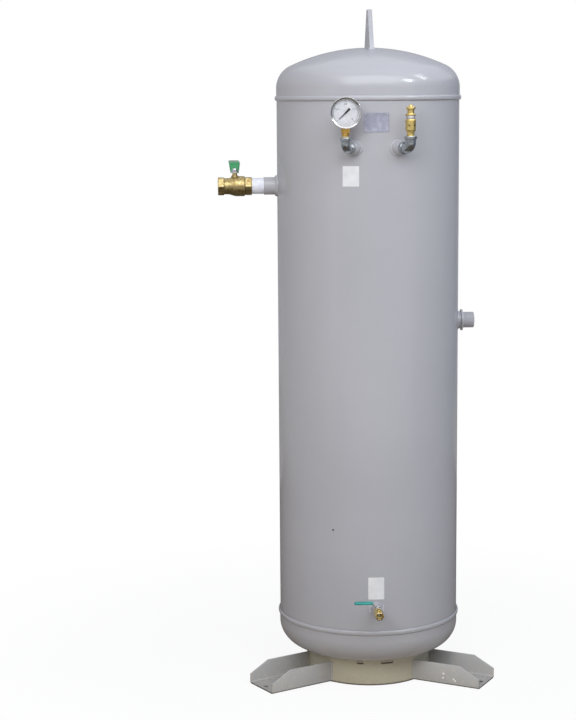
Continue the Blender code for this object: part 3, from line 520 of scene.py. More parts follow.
def lathe(outline, steps=64, flatAt=0.0):
    # turns (radius, height, hexness) points; hexness 1 makes that ring a hexagon
    shape = bmesh.new()
    hexness = shape.verts.layers.float.new("hexness")
    verts = []
    for point in outline:
        vert = shape.verts.new((point[0], 0, point[1]))
        vert[hexness] = point[2] if len(point) > 2 else 0.0
        verts.append(vert)
    pairs = list(zip(verts, verts[1:])) + ([(verts[-1], verts[0])] if outline[0][0] else [])
    edges = [shape.edges.new(pair) for pair in pairs]
    bmesh.ops.spin(shape, geom=verts + edges, cent=(0, 0, 0), axis=(0, 0, 1), dvec=(0, 0, 0),
                   angle=tau, steps=steps, use_merge=True)
    cleaned(shape)
    for vert in shape.verts:
        if vert[hexness]:
            side = (atan2(vert.co.y, vert.co.x) - flatAt + pi / 6) % (pi / 3) - pi / 6
            swell = 1 + vert[hexness] * (min(1 / cos(side), 1.12) - 1)
            vert.co.x *= swell
            vert.co.y *= swell
    return outward(shape)


def turned(points, radius, steps=64, rounding=3):
    # a turned piece with its corners rounded
    return lathe(softened(points, radius, bool(points[0][0]), rounding), steps)


def plug(radius, high, low, steps=32):
    # plain round bar, to cut with
    return lathe([(0, high), (radius, high), (radius, low), (0, low)], steps)


def slab(outline, low, high):
    # flat outline in XY given height
    shape = bmesh.new()
    face = shape.faces.new([shape.verts.new((x, y, low)) for x, y in outline])
    raised = bmesh.ops.extrude_face_region(shape, geom=[face])["geom"]
    bmesh.ops.translate(shape, verts=[g for g in raised if isinstance(g, bmesh.types.BMVert)],
                        vec=(0, 0, high - low))
    return outward(shape)


def block(low, high):
    shape = bmesh.new()
    bmesh.ops.create_cube(shape, size=1.0)
    bmesh.ops.scale(shape, verts=shape.verts, vec=Vector(high) - Vector(low))
    bmesh.ops.translate(shape, verts=shape.verts, vec=(Vector(high) + Vector(low)) / 2)
    return shape


def rounded(shape, edges, width, segments):
    bmesh.ops.bevel(shape, geom=edges, offset=width, segments=segments, profile=0.5,
                    affect="EDGES", material=-1, clamp_overlap=True)
    return shape


def eased(shape, width, segments=2, sharper=32):
    # rounds the edges that turn by more than an angle
    edges = [e for e in shape.edges if len(e.link_faces) == 2
             and e.calc_face_angle(0) > radians(sharper)]
    return rounded(shape, edges, width, segments)


def sliced(shape, point, across=(1, 0, 0), clear=False):
    bmesh.ops.bisect_plane(shape, geom=shape.verts[:] + shape.edges[:] + shape.faces[:],
                           plane_co=point, plane_no=across, clear_outer=clear)


def evaluated(thing):
    # the finished mesh of an object, modifiers and curves included
    bpy.context.view_layer.update()
    source = thing.evaluated_get(bpy.context.evaluated_depsgraph_get())
    mesh = bpy.data.meshes.new_from_object(source)
    shape = bmesh.new()
    shape.from_mesh(mesh)
    bpy.data.meshes.remove(mesh)
    return shape


def solidCurve(curve):
    # the mesh of a curve or a text
    thing = bpy.data.objects.new(curve.name, curve)
    scene.collection.objects.link(thing)
    shape = evaluated(thing)
    bpy.data.objects.remove(thing, do_unlink=True)
    return cleaned(shape)


def carved(shape, *tools, operation="DIFFERENCE"):
    base = toObject(shape)
    helpers = [toObject(tool, "tool") for tool in tools]
    for helper in helpers:
        modifier = base.modifiers.new("cut", "BOOLEAN")
        modifier.operation = operation
        modifier.solver = "EXACT"
        modifier.object = helper
    result = evaluated(base)
    for thing in [base] + helpers:
        bpy.data.objects.remove(thing, do_unlink=True)
    return cleaned(result)


def rod(points, radius, sides=6, closed=False, swell=None):
    # round bar along points; swell gives each point its share of the radius
    curve = bpy.data.curves.new("rod", "CURVE")
    curve.dimensions = "3D"
    curve.bevel_depth = radius
    curve.bevel_resolution = sides
    curve.use_fill_caps = not closed
    spline = curve.splines.new("POLY")
    spline.points.add(len(points) - 1)
    spline.use_cyclic_u = closed
    for i, (point, co) in enumerate(zip(spline.points, points)):
        point.co = (*co, 1)
        point.radius = swell[i] if swell else 1.0
    return outward(solidCurve(curve))


def bead(points, radius, closed=False, sides=4):
    # weld bead: a rod that swells and shrinks a little along its run
    swell = [1 + 0.10 * noise.noise(Vector(p) * 260) + 0.05 * noise.noise(Vector(p) * 900)
             for p in points]
    return rod(points, radius, sides, closed, swell)


def joined(*shapes):
    # several closed shapes as one mesh
    whole = bmesh.new()
    for shape in shapes:
        mesh = bpy.data.meshes.new("joined")
        shape.to_mesh(mesh)
        shape.free()
        whole.from_mesh(mesh)
        bpy.data.meshes.remove(mesh)
    return whole


def bent(path, width, thickness, edge, cuts, outline):
    # a bar with rounded edges laid along (run, rise) points, its width along X
    line = [Vector(p) for p in softened(path, 0.006, steps=6)]
    lengths = [(b - a).length for a, b in zip(line, line[1:])]
    total = sum(lengths)
    shape = block((0, -width / 2, -thickness / 2), (total, width / 2, thickness / 2))
    rounded(shape, shape.edges[:], edge, 3)
    for i in range(1, cuts):
        sliced(shape, (total * i / cuts, 0, 0))
    for vert in shape.verts:
        run, across, rise = vert.co
        across *= outline(run / total)
        left = min(max(run, 0), total - 1e-7)
        for start, end, length in zip(line, line[1:], lengths):
            if left <= length:
                break
            left -= length
        along = (end - start).normalized()
        here = start + along * left + Vector((-along.y, along.x)) * rise
        vert.co = (across, here.x, here.y)
    return outward(shape)


def onShell(shape, radius, azimuth=0.0, steps=24):
    # wraps a flat shape (X across, Y outwards, Z up) round the shell
    wide = max(v.co.x for v in shape.verts)
    for i in range(1, steps):
        sliced(shape, (-wide + 2 * wide * i / steps, 0, 0))
    for vert in shape.verts:
        angle = vert.co.x / radius + radians(azimuth)
        out = radius - vert.co.y
        vert.co = (out * sin(angle), -out * cos(angle), vert.co.z)
    return shape


def lay(shape, name, body, finish, matrix, crease=38, node=None):
    # the finished piece, in place on its body; it stands for the node that its name spells
    thing = toObject(moved(shape, matrix), name)
    thing.data.materials.clear()
    thing.data.materials.append(finish)
    thing.data.shade_smooth()
    thing.data.set_sharp_from_angle(angle=radians(crease))
    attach(thing, body)
    node = node or "".join("_" + letter.lower() if letter.isupper() else letter for letter in name)
    if node in nodes:
        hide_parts(node)


def paint(shape, name, matrix=axis, crease=38, finish=enamel, node=None):
    # a painted piece of the tank itself
    lay(shape, name, "tank", finish, matrix, crease, node)


# pressure vessel

vessel = {"radius": 0.250, "wall": 0.0045, "low": 0.1725, "high": 1.613, "headRadius": 0.251,
          "flange": 0.0265, "crown": 0.500, "knuckle": 0.0675, "beadWidth": 0.013,
          "beadHeight": 0.004, "steps": 192}
headTangent = vessel["high"] + vessel["flange"]
knuckleAt = vessel["headRadius"] - vessel["knuckle"]
crownReach = vessel["crown"] - vessel["knuckle"]
knuckleAngle = pi / 2 - atan2(sqrt(crownReach ** 2 - knuckleAt ** 2), knuckleAt)
crownCentre = headTangent - sqrt(crownReach ** 2 - knuckleAt ** 2)
middle = (vessel["high"] + vessel["low"]) / 2

ports = {   # couplings set square on the shell
    "inlet": {"height": 1.375, "hole": 0.0243, "steps": 48, "aim": turn(-90, "Y")},
    "outlet": {"height": 0.997, "hole": 0.0241, "steps": 48, "aim": aroundX},
    "drain": {"height": 0.245, "hole": 0.0128, "steps": 36, "aim": facingFront},
}
branches = {   # bent branches, turned outwards either side of the front
    "gauge": {"side": -1, "socket": 0.0160, "arm": 0.0280, "band": 0.0145, "body": 0.0122,
              "bore": 0.0062},
    "relief": {"side": 1, "socket": 0.0175, "arm": 0.0315, "band": 0.0168, "body": 0.0143,
               "bore": 0.0083},
}
branch = {"height": 1.4835, "azimuth": radians(13), "splay": 32, "reach": 0.0535,
          "bandWidth": 0.0085, "weld": 0.0038}
splay = radians(branch["splay"])
columnX = vessel["radius"] * sin(branch["azimuth"]) + branch["reach"] * sin(splay)
columnY = -vessel["radius"] * cos(branch["azimuth"]) - branch["reach"] * cos(splay)


def crownHeight(distance):
    return crownCentre + sqrt(vessel["crown"] ** 2 - distance ** 2)


def pipeFace(azimuth, splay, height, pipeRadius, count=56):
    # where a pipe from the shell meets its face, as points round the pipe
    shellRadius = vessel["radius"]
    base = Vector((shellRadius * sin(azimuth), -shellRadius * cos(azimuth), height))
    out = Vector((sin(splay), -cos(splay), 0))
    side = Vector((cos(splay), sin(splay), 0))
    points = []
    for i in range(count):
        start = base + side * (pipeRadius * cos(tau * i / count))
        start.z += pipeRadius * sin(tau * i / count)
        half = start.x * out.x + start.y * out.y
        rest = start.x ** 2 + start.y ** 2 - shellRadius ** 2
        points.append(start + out * (-half + sqrt(max(half * half - rest, 0))))
    return points


def portPlace(name):
    return move(z=ports[name]["height"]) @ ports[name]["aim"]


def branchBase(side):
    return (move(vessel["radius"] * sin(branch["azimuth"]) * side,
                 -vessel["radius"] * cos(branch["azimuth"]), branch["height"])
            @ turn(branch["splay"] * side, "Z") @ facingFront)


def dished(inset, count=22):
    # side view of a dished head, from its crown to its straight flange
    crown, knuckle = vessel["crown"] - inset, vessel["knuckle"] - inset
    angles = [knuckleAngle * i / count for i in range(count)]
    points = [(crown * sin(a), crownCentre + crown * cos(a)) for a in angles]
    angles = [knuckleAngle + (pi / 2 - knuckleAngle) * i / count for i in range(count + 1)]
    return points + [(knuckleAt + knuckle * sin(a), headTangent + knuckle * cos(a)) for a in angles]


def buildVessel():
    r, wall, steps = vessel["radius"], vessel["wall"], vessel["steps"]
    shell = lathe(tube(r, r - wall, vessel["high"] - gap / 2, vessel["low"] + gap / 2), steps)
    holes = [moved(plug(port["hole"], 0.32, 0.2, port["steps"]), portPlace(name))
             for name, port in ports.items()]
    holes += [moved(plug(fitting["socket"] + gap, 0.03, -0.03, 36), branchBase(fitting["side"]))
              for fitting in branches.values()]
    paint(carved(shell, *holes), "tankShell", crease=30, node="shell")

    seam = vessel["high"] + gap / 2
    outline = dished(0) + [(vessel["headRadius"], seam), (vessel["headRadius"] - wall, seam)]
    outline += dished(wall)[::-1]
    paint(lathe(outline, steps), "topHead", crease=50)
    paint(lathe([(x, 2 * middle - z) for x, z in outline], steps), "bottomHead", crease=50)

    base = vessel["headRadius"] + gap
    for name, height in (("topSeamWeld", vessel["high"]), ("bottomSeamWeld", vessel["low"])):
        ring = [(base + vessel["beadHeight"] * cos(a), height + vessel["beadWidth"] / 2 * sin(a))
                for a in (pi / 2 - pi * i / 10 for i in range(11))]
        shape = lathe(ring, 420)
        for vert in shape.verts:
            around = atan2(vert.co.y, vert.co.x)
            push = vert.co.xy.length - base
            wander = noise.noise(Vector((9 * cos(around), 9 * sin(around), height * 7)))
            ripple = noise.noise(Vector((70 * cos(around), 70 * sin(around), height * 7)))
            vert.co.z += 0.0006 * wander
            factor = 1 - push / base * (0.10 + 0.10 * wander + 0.10 * ripple)
            vert.co.x *= factor
            vert.co.y *= factor
        paint(shape, name, crease=60)


# base ring and feet

skirt = {"radius": 0.175, "slitLow": 0.0608, "slitHeight": 0.0038, "weld": 0.0031,
         "slits": ((-15.5, -9.6), (6.4, 18.0)), "sectors": (0, 120, 240)}


def buildBase():
    r, wall = skirt["radius"], vessel["wall"]
    top, topInside = [2 * middle - crownHeight(x) - 0.0005 for x in (r, r - wall)]
    ring = turned([(r, top), (r, 0.0), (r - wall, 0.0), (r - wall, topInside)], 0.0006, 160)
    slits, runs = [], []
    (firstStart, firstEnd), (lastStart, lastEnd) = skirt["slits"]
    for sector in skirt["sectors"]:
        for start, end in skirt["slits"]:
            half = r * radians(end - start) / 2
            slits.append(moved(block((-half, -r - 0.01, skirt["slitLow"]),
                                     (half, -r + 0.02, skirt["slitLow"] + skirt["slitHeight"])),
                               turn(sector + (start + end) / 2, "Z")))
        runs += [(sector + firstEnd, sector + lastStart),
                 (sector + lastEnd, sector + firstStart + 120)]
    paint(carved(ring, *slits), "baseSkirt", crease=30, finish=skirtBounceEnamel)

    # stitch welds between the slits
    out = r + 0.0012
    for number, (start, end) in enumerate(runs):
        count = max(8, int((end - start) * 0.9))
        angles = [radians(start + (end - start) * i / count) for i in range(count + 1)]
        points = [(out * sin(a), -out * cos(a), top + 0.0002) for a in angles]
        paint(bead(points, skirt["weld"]), f"skirtWeld{number}", finish=skirtBounceEnamel)


foot = {"angles": {"rear": 90, "left": 210, "right": 330}, "half": 0.0585, "start": 0.13,
        "end": 0.361, "shoulder": 0.303, "lip": 0.0275, "height": 0.058, "hole": 0.006,
        "holeAt": 0.345, "bend": 0.0065, "weld": 0.0024, "skirtFace": 0.1753}


def buildFeet():
    wall, half, tall, face = vessel["wall"], foot["half"], foot["height"], foot["skirtFace"]
    inside = half - wall
    outer = softened([(-half, tall), (-half, 0), (half, 0), (half, tall)], foot["bend"], steps=5)
    inner = softened([(inside, tall), (inside, wall), (-inside, wall), (-inside, tall)],
                     foot["bend"] - wall * 0.6, steps=5)
    for side, angle in foot["angles"].items():
        channel = moved(slab(outer + inner, foot["start"], foot["end"]),
                        Matrix(((0, 0, 1, 0), (1, 0, 0, 0), (0, 1, 0, 0), (0, 0, 0, 1))))
        slope = Vector((tall - foot["lip"], 0, foot["end"] - foot["shoulder"])).normalized()
        sliced(channel, (foot["shoulder"], 0, tall), slope, True)
        bmesh.ops.holes_fill(channel, edges=[e for e in channel.edges if e.is_boundary])
        outward(channel)
        hole = moved(plug(foot["hole"], 0.02, -0.02), move(x=foot["holeAt"]))
        place = axis @ turn(angle, "Z")
        name = f"{side}Foot"
        paint(eased(carved(channel, plug(face, 0.1, -0.02, 160), hole), 0.0006), name, place, 30,
              footEnamel, f"foot_{side}")
        seams = {}
        for number, y in enumerate((-half - 0.0004, half + 0.0004)):
            x = sqrt(face ** 2 - y ** 2) + 0.0004
            seams[f"{name}SideWeld{number}"] = [
                (x, y, 0.0032 + (tall - 0.0045) * i / 20) for i in range(21)]
        run = [-inside + 0.004 + (2 * inside - 0.008) * i / 24 for i in range(25)]
        seams[f"{name}InsideWeld"] = [(sqrt(face ** 2 - y ** 2) + 0.0012, y, wall + 0.0008)
                                      for y in run]
        for weld, seam in seams.items():
            paint(bead(seam, foot["weld"]), weld, place, finish=footEnamel)


lug = {"top": 1.850, "thickness": 0.012, "topWidth": 0.033, "baseWidth": 0.164, "eye": 0.0125,
       "eyeDrop": 0.036, "corner": 0.004, "weld": 0.0034, "offset": 0.004}


def buildLug():
    halfTop, halfBase, t = lug["topWidth"] / 2, lug["baseWidth"] / 2, lug["thickness"]
    reach = [halfBase * (1 - i / 8) for i in range(17)]
    outline = [(x, crownHeight(x) + gap) for x in reach]
    outline += softened([outline[-1], (-halfTop, lug["top"]), (halfTop, lug["top"]), outline[0]],
                        lug["corner"], steps=6)[1:-1]
    eye = moved(plug(lug["eye"], 0.02, -0.02, 40), move(y=lug["top"] - lug["eyeDrop"]))
    place = axis @ move(lug["offset"])
    paint(eased(carved(slab(outline, -t / 2, t / 2), eye), 0.0009), "liftingLug",
          place @ turn(90, "Z") @ turn(90, "X"), 34)
    run = [-halfBase + 2 * halfBase * i / 32 for i in range(33)]
    loop = [(t / 2 + 0.0006, y, crownHeight(y) + 0.0008) for y in run]
    loop += [(t / 2 - t * i / 5, halfBase + 0.0006, crownHeight(halfBase) + 0.0008)
             for i in range(1, 5)]
    loop += [(-x, -y, z) for x, y, z in loop]
    paint(bead(loop, lug["weld"], True), "lugWeld", place)


# side connections: socket numbers are outer, bore and thread radius, high, low and step

inletPipe = {"coupling": (0.0240, 0.0180, 0.0213, 0.2868, 0.246, 0.262), "weld": (0.0212, 0.0080),
             "pipe": 0.0210, "bore": 0.0165, "start": 0.263, "tape": (0.02155, 0.3198, 0.2871),
             "wind": (0.0023, 0.00035), "insert": 0.0165}
outletPipe = {"thread": (0.02125, 0.2950, 0.2680, 0.0023, 0.0008), "weld": (0.0242, 0.0036),
              "nose": [(0.0208, 0.2958)],
              "root": [(0.0220, 0.2670), (0.0220, 0.2590), (0.0238, 0.2590), (0.0238, 0.243),
                       (0.0180, 0.243), (0.0180, 0.2950), (0.0186, 0.2958)],
              "collar": (0.0295, 0.0223, 0.2643, 0.2593)}
drainPipe = {"coupling": (0.0125, 0.0060, 0.0083, 0.272, 0.2475, 0.256), "weld": (0.0128, 0.0030),
             "thread": (0.0076, 0.2965, 0.2580, 0.0013, 0.0004), "bore": 0.0055,
             "ends": (0.0080, 0.297, 0.257)}


def portWeld(name, azimuth, radius, size):
    ring = pipeFace(radians(azimuth), radians(azimuth), ports[name]["height"], radius)
    paint(bead(ring, size, True, 6), f"{name}Weld")


def buildConnections():
    inlet, outlet, drain = [axis @ portPlace(name) for name in ports]
    paint(turned(socket(*inletPipe["coupling"]), 0.0008, 72), "inletCoupling", inlet)
    portWeld("inlet", -90, *inletPipe["weld"])
    wound, tapeEnd, tapeStart = inletPipe["tape"]
    far, pipe, bore = tapeEnd + inletPipe["insert"], inletPipe["pipe"], inletPipe["bore"]
    nipple = [(pipe, far), (pipe, tapeEnd)]
    nipple += ridges(wound, tapeEnd, tapeStart, *inletPipe["wind"])
    start = inletPipe["start"]
    nipple += [(pipe, tapeStart), (pipe, start), (bore, start), (bore, far)]
    lay(lathe(nipple, 72), "tapedNipple", "tank", tape, inlet, 60, "inlet_nipple")

    stub = outletPipe["nose"] + ridges(*outletPipe["thread"]) + outletPipe["root"]
    paint(lathe(stub, 72), "outletNipple", outlet, 24)
    paint(turned(tube(*outletPipe["collar"]), 0.0009, 72), "outletCollar", outlet)
    portWeld("outlet", 90, *outletPipe["weld"])

    paint(turned(socket(*drainPipe["coupling"]), 0.0006, 56), "drainCoupling", drain)
    portWeld("drain", 0, *drainPipe["weld"])
    pipe, high, low = drainPipe["ends"]
    nipple = [(pipe, high)] + ridges(*drainPipe["thread"])
    nipple += [(drainPipe["bore"], low), (drainPipe["bore"], high)]
    lay(lathe(nipple, 48), "drainNipple", "tank", turnedBrass, drain, 50)


def buildBranches():
    for name, d in branches.items():
        side, bore, arm, wide = d["side"], d["bore"], d["arm"], branch["bandWidth"]
        where = axis @ branchBase(side)
        face = branch["reach"] - arm
        thread = bore + 0.0035
        paint(turned(socket(d["socket"], bore, thread, face - 0.0015, -0.008, 0.002), 0.0010),
              f"{name}Socket", where)
        ring = pipeFace(branch["azimuth"] * side, radians(branch["splay"]) * side,
                        branch["height"], d["socket"] + gap)
        paint(bead(ring, branch["weld"], True, 6), f"{name}SocketWeld")

        centre = (axis @ move(columnX * side, columnY, branch["height"])
                  @ turn(branch["splay"] * side, "Z"))
        bend = d["body"] + 0.0025
        curve = [(0, bend - bend * sin(a), bend - bend * cos(a)) for a in
                 (pi / 2 * i / 14 for i in range(15))]
        body = rod([(0, arm - 0.002, 0)] + curve + [(0, 0, arm - 0.002)], d["body"], 10)
        band = [(bore, arm), (d["band"], arm), (d["band"], arm - wide),
                (d["body"] - 0.0002, arm - wide - 0.0006), (bore, arm - wide - 0.0006)]
        ends = [moved(turned(band, 0.0011, 56), matrix) for matrix in (Matrix(), turn(-90, "X"))]
        lay(carved(body, *ends, operation="UNION"), f"{name}Elbow", "tank", zinc,
            centre, 42)
        nipple = [(thread - gap, face + 0.011), (thread - gap, 0.003), (bore, 0.003),
                  (bore, face + 0.011)]
        lay(lathe(nipple, 40), f"{name}Nipple", "tank", zinc, where)


# ball valves

inletValve = {
    "half": 0.0464, "hex": 0.048, "outerHex": 0.017, "seam": 0.0272, "barrel": 0.0275,
    "neck": 0.0222, "taper": (-0.002, 0.016), "cavity": 0.0215, "pocket": 0.0180, "ball": 0.0195,
    "bore": 0.0125, "thread": 0.0213, "threadStart": 0.0285, "seatBack": 0.0185, "stem": 0.0040,
    "boss": 0.0085, "bossTop": 0.0300, "bossRoot": 0.0105, "gland": 0.0070, "glandTop": 0.0360,
    "leverSteel": 0.0030, "leverWidth": 0.0235, "nut": 0.0135, "nutHeight": 0.0085,
    "rise": (0.0125, 0.0285), "lift": 0.0245, "grip": (0.0135, 0.147), "gripSize": (0.0300, 0.0066),
    "pitch": 0.0023, "edge": 0.0010, "lip": 0.0009, "from": 0.3201,
}
drainValve = {
    "half": 0.0245, "hex": 0.0215, "outerHex": 0.0085, "seam": 0.0135, "barrel": 0.0128,
    "neck": 0.0102, "taper": (-0.001, 0.008), "cavity": 0.0102, "pocket": 0.0081, "ball": 0.0089,
    "bore": 0.0048, "thread": 0.0083, "threadStart": 0.0135, "seatBack": 0.0088, "stem": 0.0022,
    "boss": 0.0052, "bossTop": 0.0140, "bossRoot": 0.0056, "gland": 0.0042, "glandTop": 0.0158,
    "leverSteel": 0.0018, "leverWidth": 0.0110, "nut": 0.0085, "nutHeight": 0.0036,
    "rise": (0.0060, 0.0185), "lift": 0.0140, "grip": (0.0160, 0.066), "gripSize": (0.0165, 0.0064),
    "pitch": 0.0013, "edge": 0.0006, "lip": 0.0012, "from": 0.2880,
}
gripNear = 0.80         # the grip's width where it starts, as a share


def buildBallValve(name, d, matrix, finish, vinyl):
    half, seam, hexHalf, edge, lip = d["half"], d["seam"], d["hex"] / 2, d["edge"], d["lip"]
    cavity, pocket, bore = d["cavity"], d["pocket"], d["bore"]
    thread, barrel = d["thread"], d["barrel"]
    start, end = d["taper"]
    pocketEdge = d["ball"] * 0.46
    hexStart = half - d["outerHex"]
    outside = softened([
        (thread + 0.0006, half), (hexHalf - lip, half, 0.6), (hexHalf, half - lip, 1),
        (hexHalf, hexStart + lip, 1), (hexHalf - lip * 1.5, hexStart, 0.5),
        (d["neck"], hexStart - lip), (d["neck"], end), (barrel, start),
        (barrel, 0.0012 - seam), (barrel - 0.0012, -seam)], edge * 2)
    inside = [(cavity, -seam), (cavity, pocketEdge - (cavity - pocket)), (pocket, pocketEdge),
              (pocket, d["seatBack"] + gap), (bore, d["seatBack"] + gap), (bore, d["threadStart"])]
    inside += ridges(thread + 0.0003, d["threadStart"] + 0.001, half - 0.0008, d["pitch"], -0.0006)
    body = moved(lathe(outside + inside, 84), aroundX)
    rootLow = cavity + (barrel - cavity) * 0.35
    top, root = d["bossTop"], d["bossRoot"]
    boss = turned([(0, top), (d["boss"], top), (d["boss"], top - edge * 2),
                   (root, barrel - edge * 0.5), (root, rootLow), (0, rootLow)], edge, 48)
    hole = plug(d["stem"] + gap, 0.1, 0, 24)
    casting = carved(carved(body, boss, operation="UNION"), hole)
    lay(casting, f"{name}ValveBody", "tank", finish, matrix, 40)

    cap = softened([(hexHalf - lip, -half, 0.6), (hexHalf, lip - half, 1),
                    (hexHalf, -seam - gap - lip, 1), (hexHalf - lip, -seam - gap, 0.6)], edge)
    throat = [(cavity - gap, -seam - gap), (cavity - gap, -pocketEdge), (pocket, -pocketEdge),
              (pocket, -d["seatBack"] - gap), (bore, -d["seatBack"] - gap),
              (bore, -d["threadStart"]), (thread, -d["threadStart"]), (thread, -half)]
    lay(lathe(throat + cap, 84), f"{name}ValveEnd", "tank", finish, matrix @ aroundX, 40)

    gland = [(d["gland"], d["glandTop"]), (d["gland"], d["bossTop"] + gap),
             (d["stem"] + gap, d["bossTop"] + gap), (d["stem"] + gap, d["glandTop"])]
    lay(turned(gland, edge * 0.8, 48), f"{name}GlandNut", "tank", turnedBrass, matrix)

    # everything from here turns with the lever
    turning = f"{name}_core"
    sphere = bmesh.new()
    bmesh.ops.create_uvsphere(sphere, u_segments=48, v_segments=24, radius=d["ball"])
    tang = d["stem"] * 0.5
    floor = bore + (d["ball"] - bore) * 0.5
    slot = block((-0.05, -tang - gap, floor), (0.05, tang + gap, 0.05))
    ball = carved(sphere, moved(plug(bore, 0.05, -0.05, 40), facingFront), slot)
    lay(ball, f"{name}Ball", turning, chrome, matrix)
    leverLow = d["glandTop"] + gap
    leverHigh = leverLow + d["leverSteel"]
    nutTop = leverHigh + gap + d["nutHeight"]
    stem = [(0, d["ball"] + gap), (d["stem"], d["ball"] + gap), (d["stem"], leverHigh)]
    stem += ridges(d["stem"] - 0.0003, leverHigh, nutTop + 0.0006, d["stem"] * 0.25, 0.0003)
    stem += [(0, nutTop + 0.001)]
    key = block((-d["stem"] * 0.8, -tang, floor + gap), (d["stem"] * 0.8, tang, d["ball"] + 0.001))
    lay(carved(lathe(stem, 36), key, operation="UNION"), f"{name}Stem", turning,
        steel, matrix, 30)
    low = leverHigh + gap
    nutHalf = d["nut"] / 2
    nut = [(d["stem"] + gap, low), (nutHalf - 0.0004, low, 0.9), (nutHalf, low + 0.0005, 1),
           (nutHalf, nutTop - 0.0012, 1), (nutHalf - 0.0002, nutTop - 0.0002, 0.15),
           (nutHalf - 0.0012, nutTop, 0.0), (d["stem"] + gap, nutTop)]
    lay(lathe(nut, 72, radians(30)), f"{name}LeverNut", turning, steel, matrix, 30)

    lowLine = (leverLow + leverHigh) / 2
    highLine = lowLine + d["lift"]
    bendStart, bendEnd = d["rise"]
    near, far = d["grip"]
    steelPath = [(d["leverWidth"] / 2, lowLine), (-bendStart, lowLine), (-bendEnd, highLine),
                 (0.004 - far, highLine)]
    arm = bent(steelPath, d["leverWidth"], d["leverSteel"], 0.0004, 56,
               lambda s: min(1.0, 0.55 + 9 * s))
    eyelet = plug(d["stem"] + gap, 0.1, 0.0, 24)
    lay(carved(arm, eyelet), f"{name}Lever", turning, steel, matrix, 40)

    wide, tall = d["gripSize"]
    share = (near - bendStart) / (bendEnd - bendStart)
    dipped = [(-near, lowLine + d["lift"] * share), (-bendEnd, highLine), (-far, highLine)]
    grip = bent(dipped, wide, tall, tall * 0.42, 64,
                lambda s: gripNear + (1 - gripNear) * min(1, 6 * s)
                - 0.35 * max(0.0, s - 0.93) / 0.07)
    lay(grip, f"{name}Grip", turning, vinyl, matrix, 50)


# pressure gauge: outlines are (radius, depth behind the bezel's face)

dial = {
    "height": 1.5760, "front": 0.0200, "case": 0.0385, "rest": 225.0, "tip": 0.0250, "span": 270,
    "numbers": ("0", "0.4", "0.8", "1.2", "1.6"), "parts": 40,
    "figure": 0.0062, "figureAt": 0.0222, "ink": 0.0117, "tickEnd": 0.0322,
    "ticks": ((10, 0.0275, 0.00045), (5, 0.0290, 0.0003), (1, 0.0302, 0.0002)),
    "shell": [(0, 0.0328), (0.0350, 0.0328), (0.0373, 0.0305), (0.0373, 0.0065), (0.0385, 0.0065),
              (0.0385, 0.0310), (0.0355, 0.0340), (0, 0.0340)],
    "bezel": [(0.03975, 0), (0.04075, 0.0014), (0.04075, 0.0095), (0.0388, 0.0095),
              (0.0388, 0.0045), (0.0352, 0.0040), (0.0352, 0.0034), (0.0374, 0.0018)],
    "pane": [(0, 0.0040), (0.0360, 0.0040), (0.0370, 0.0047), (0.0370, 0.0058), (0, 0.0058)],
    "hub": [(0, 0.0085), (0.0021, 0.0085), (0.0026, 0.0094), (0, 0.0094)],
}


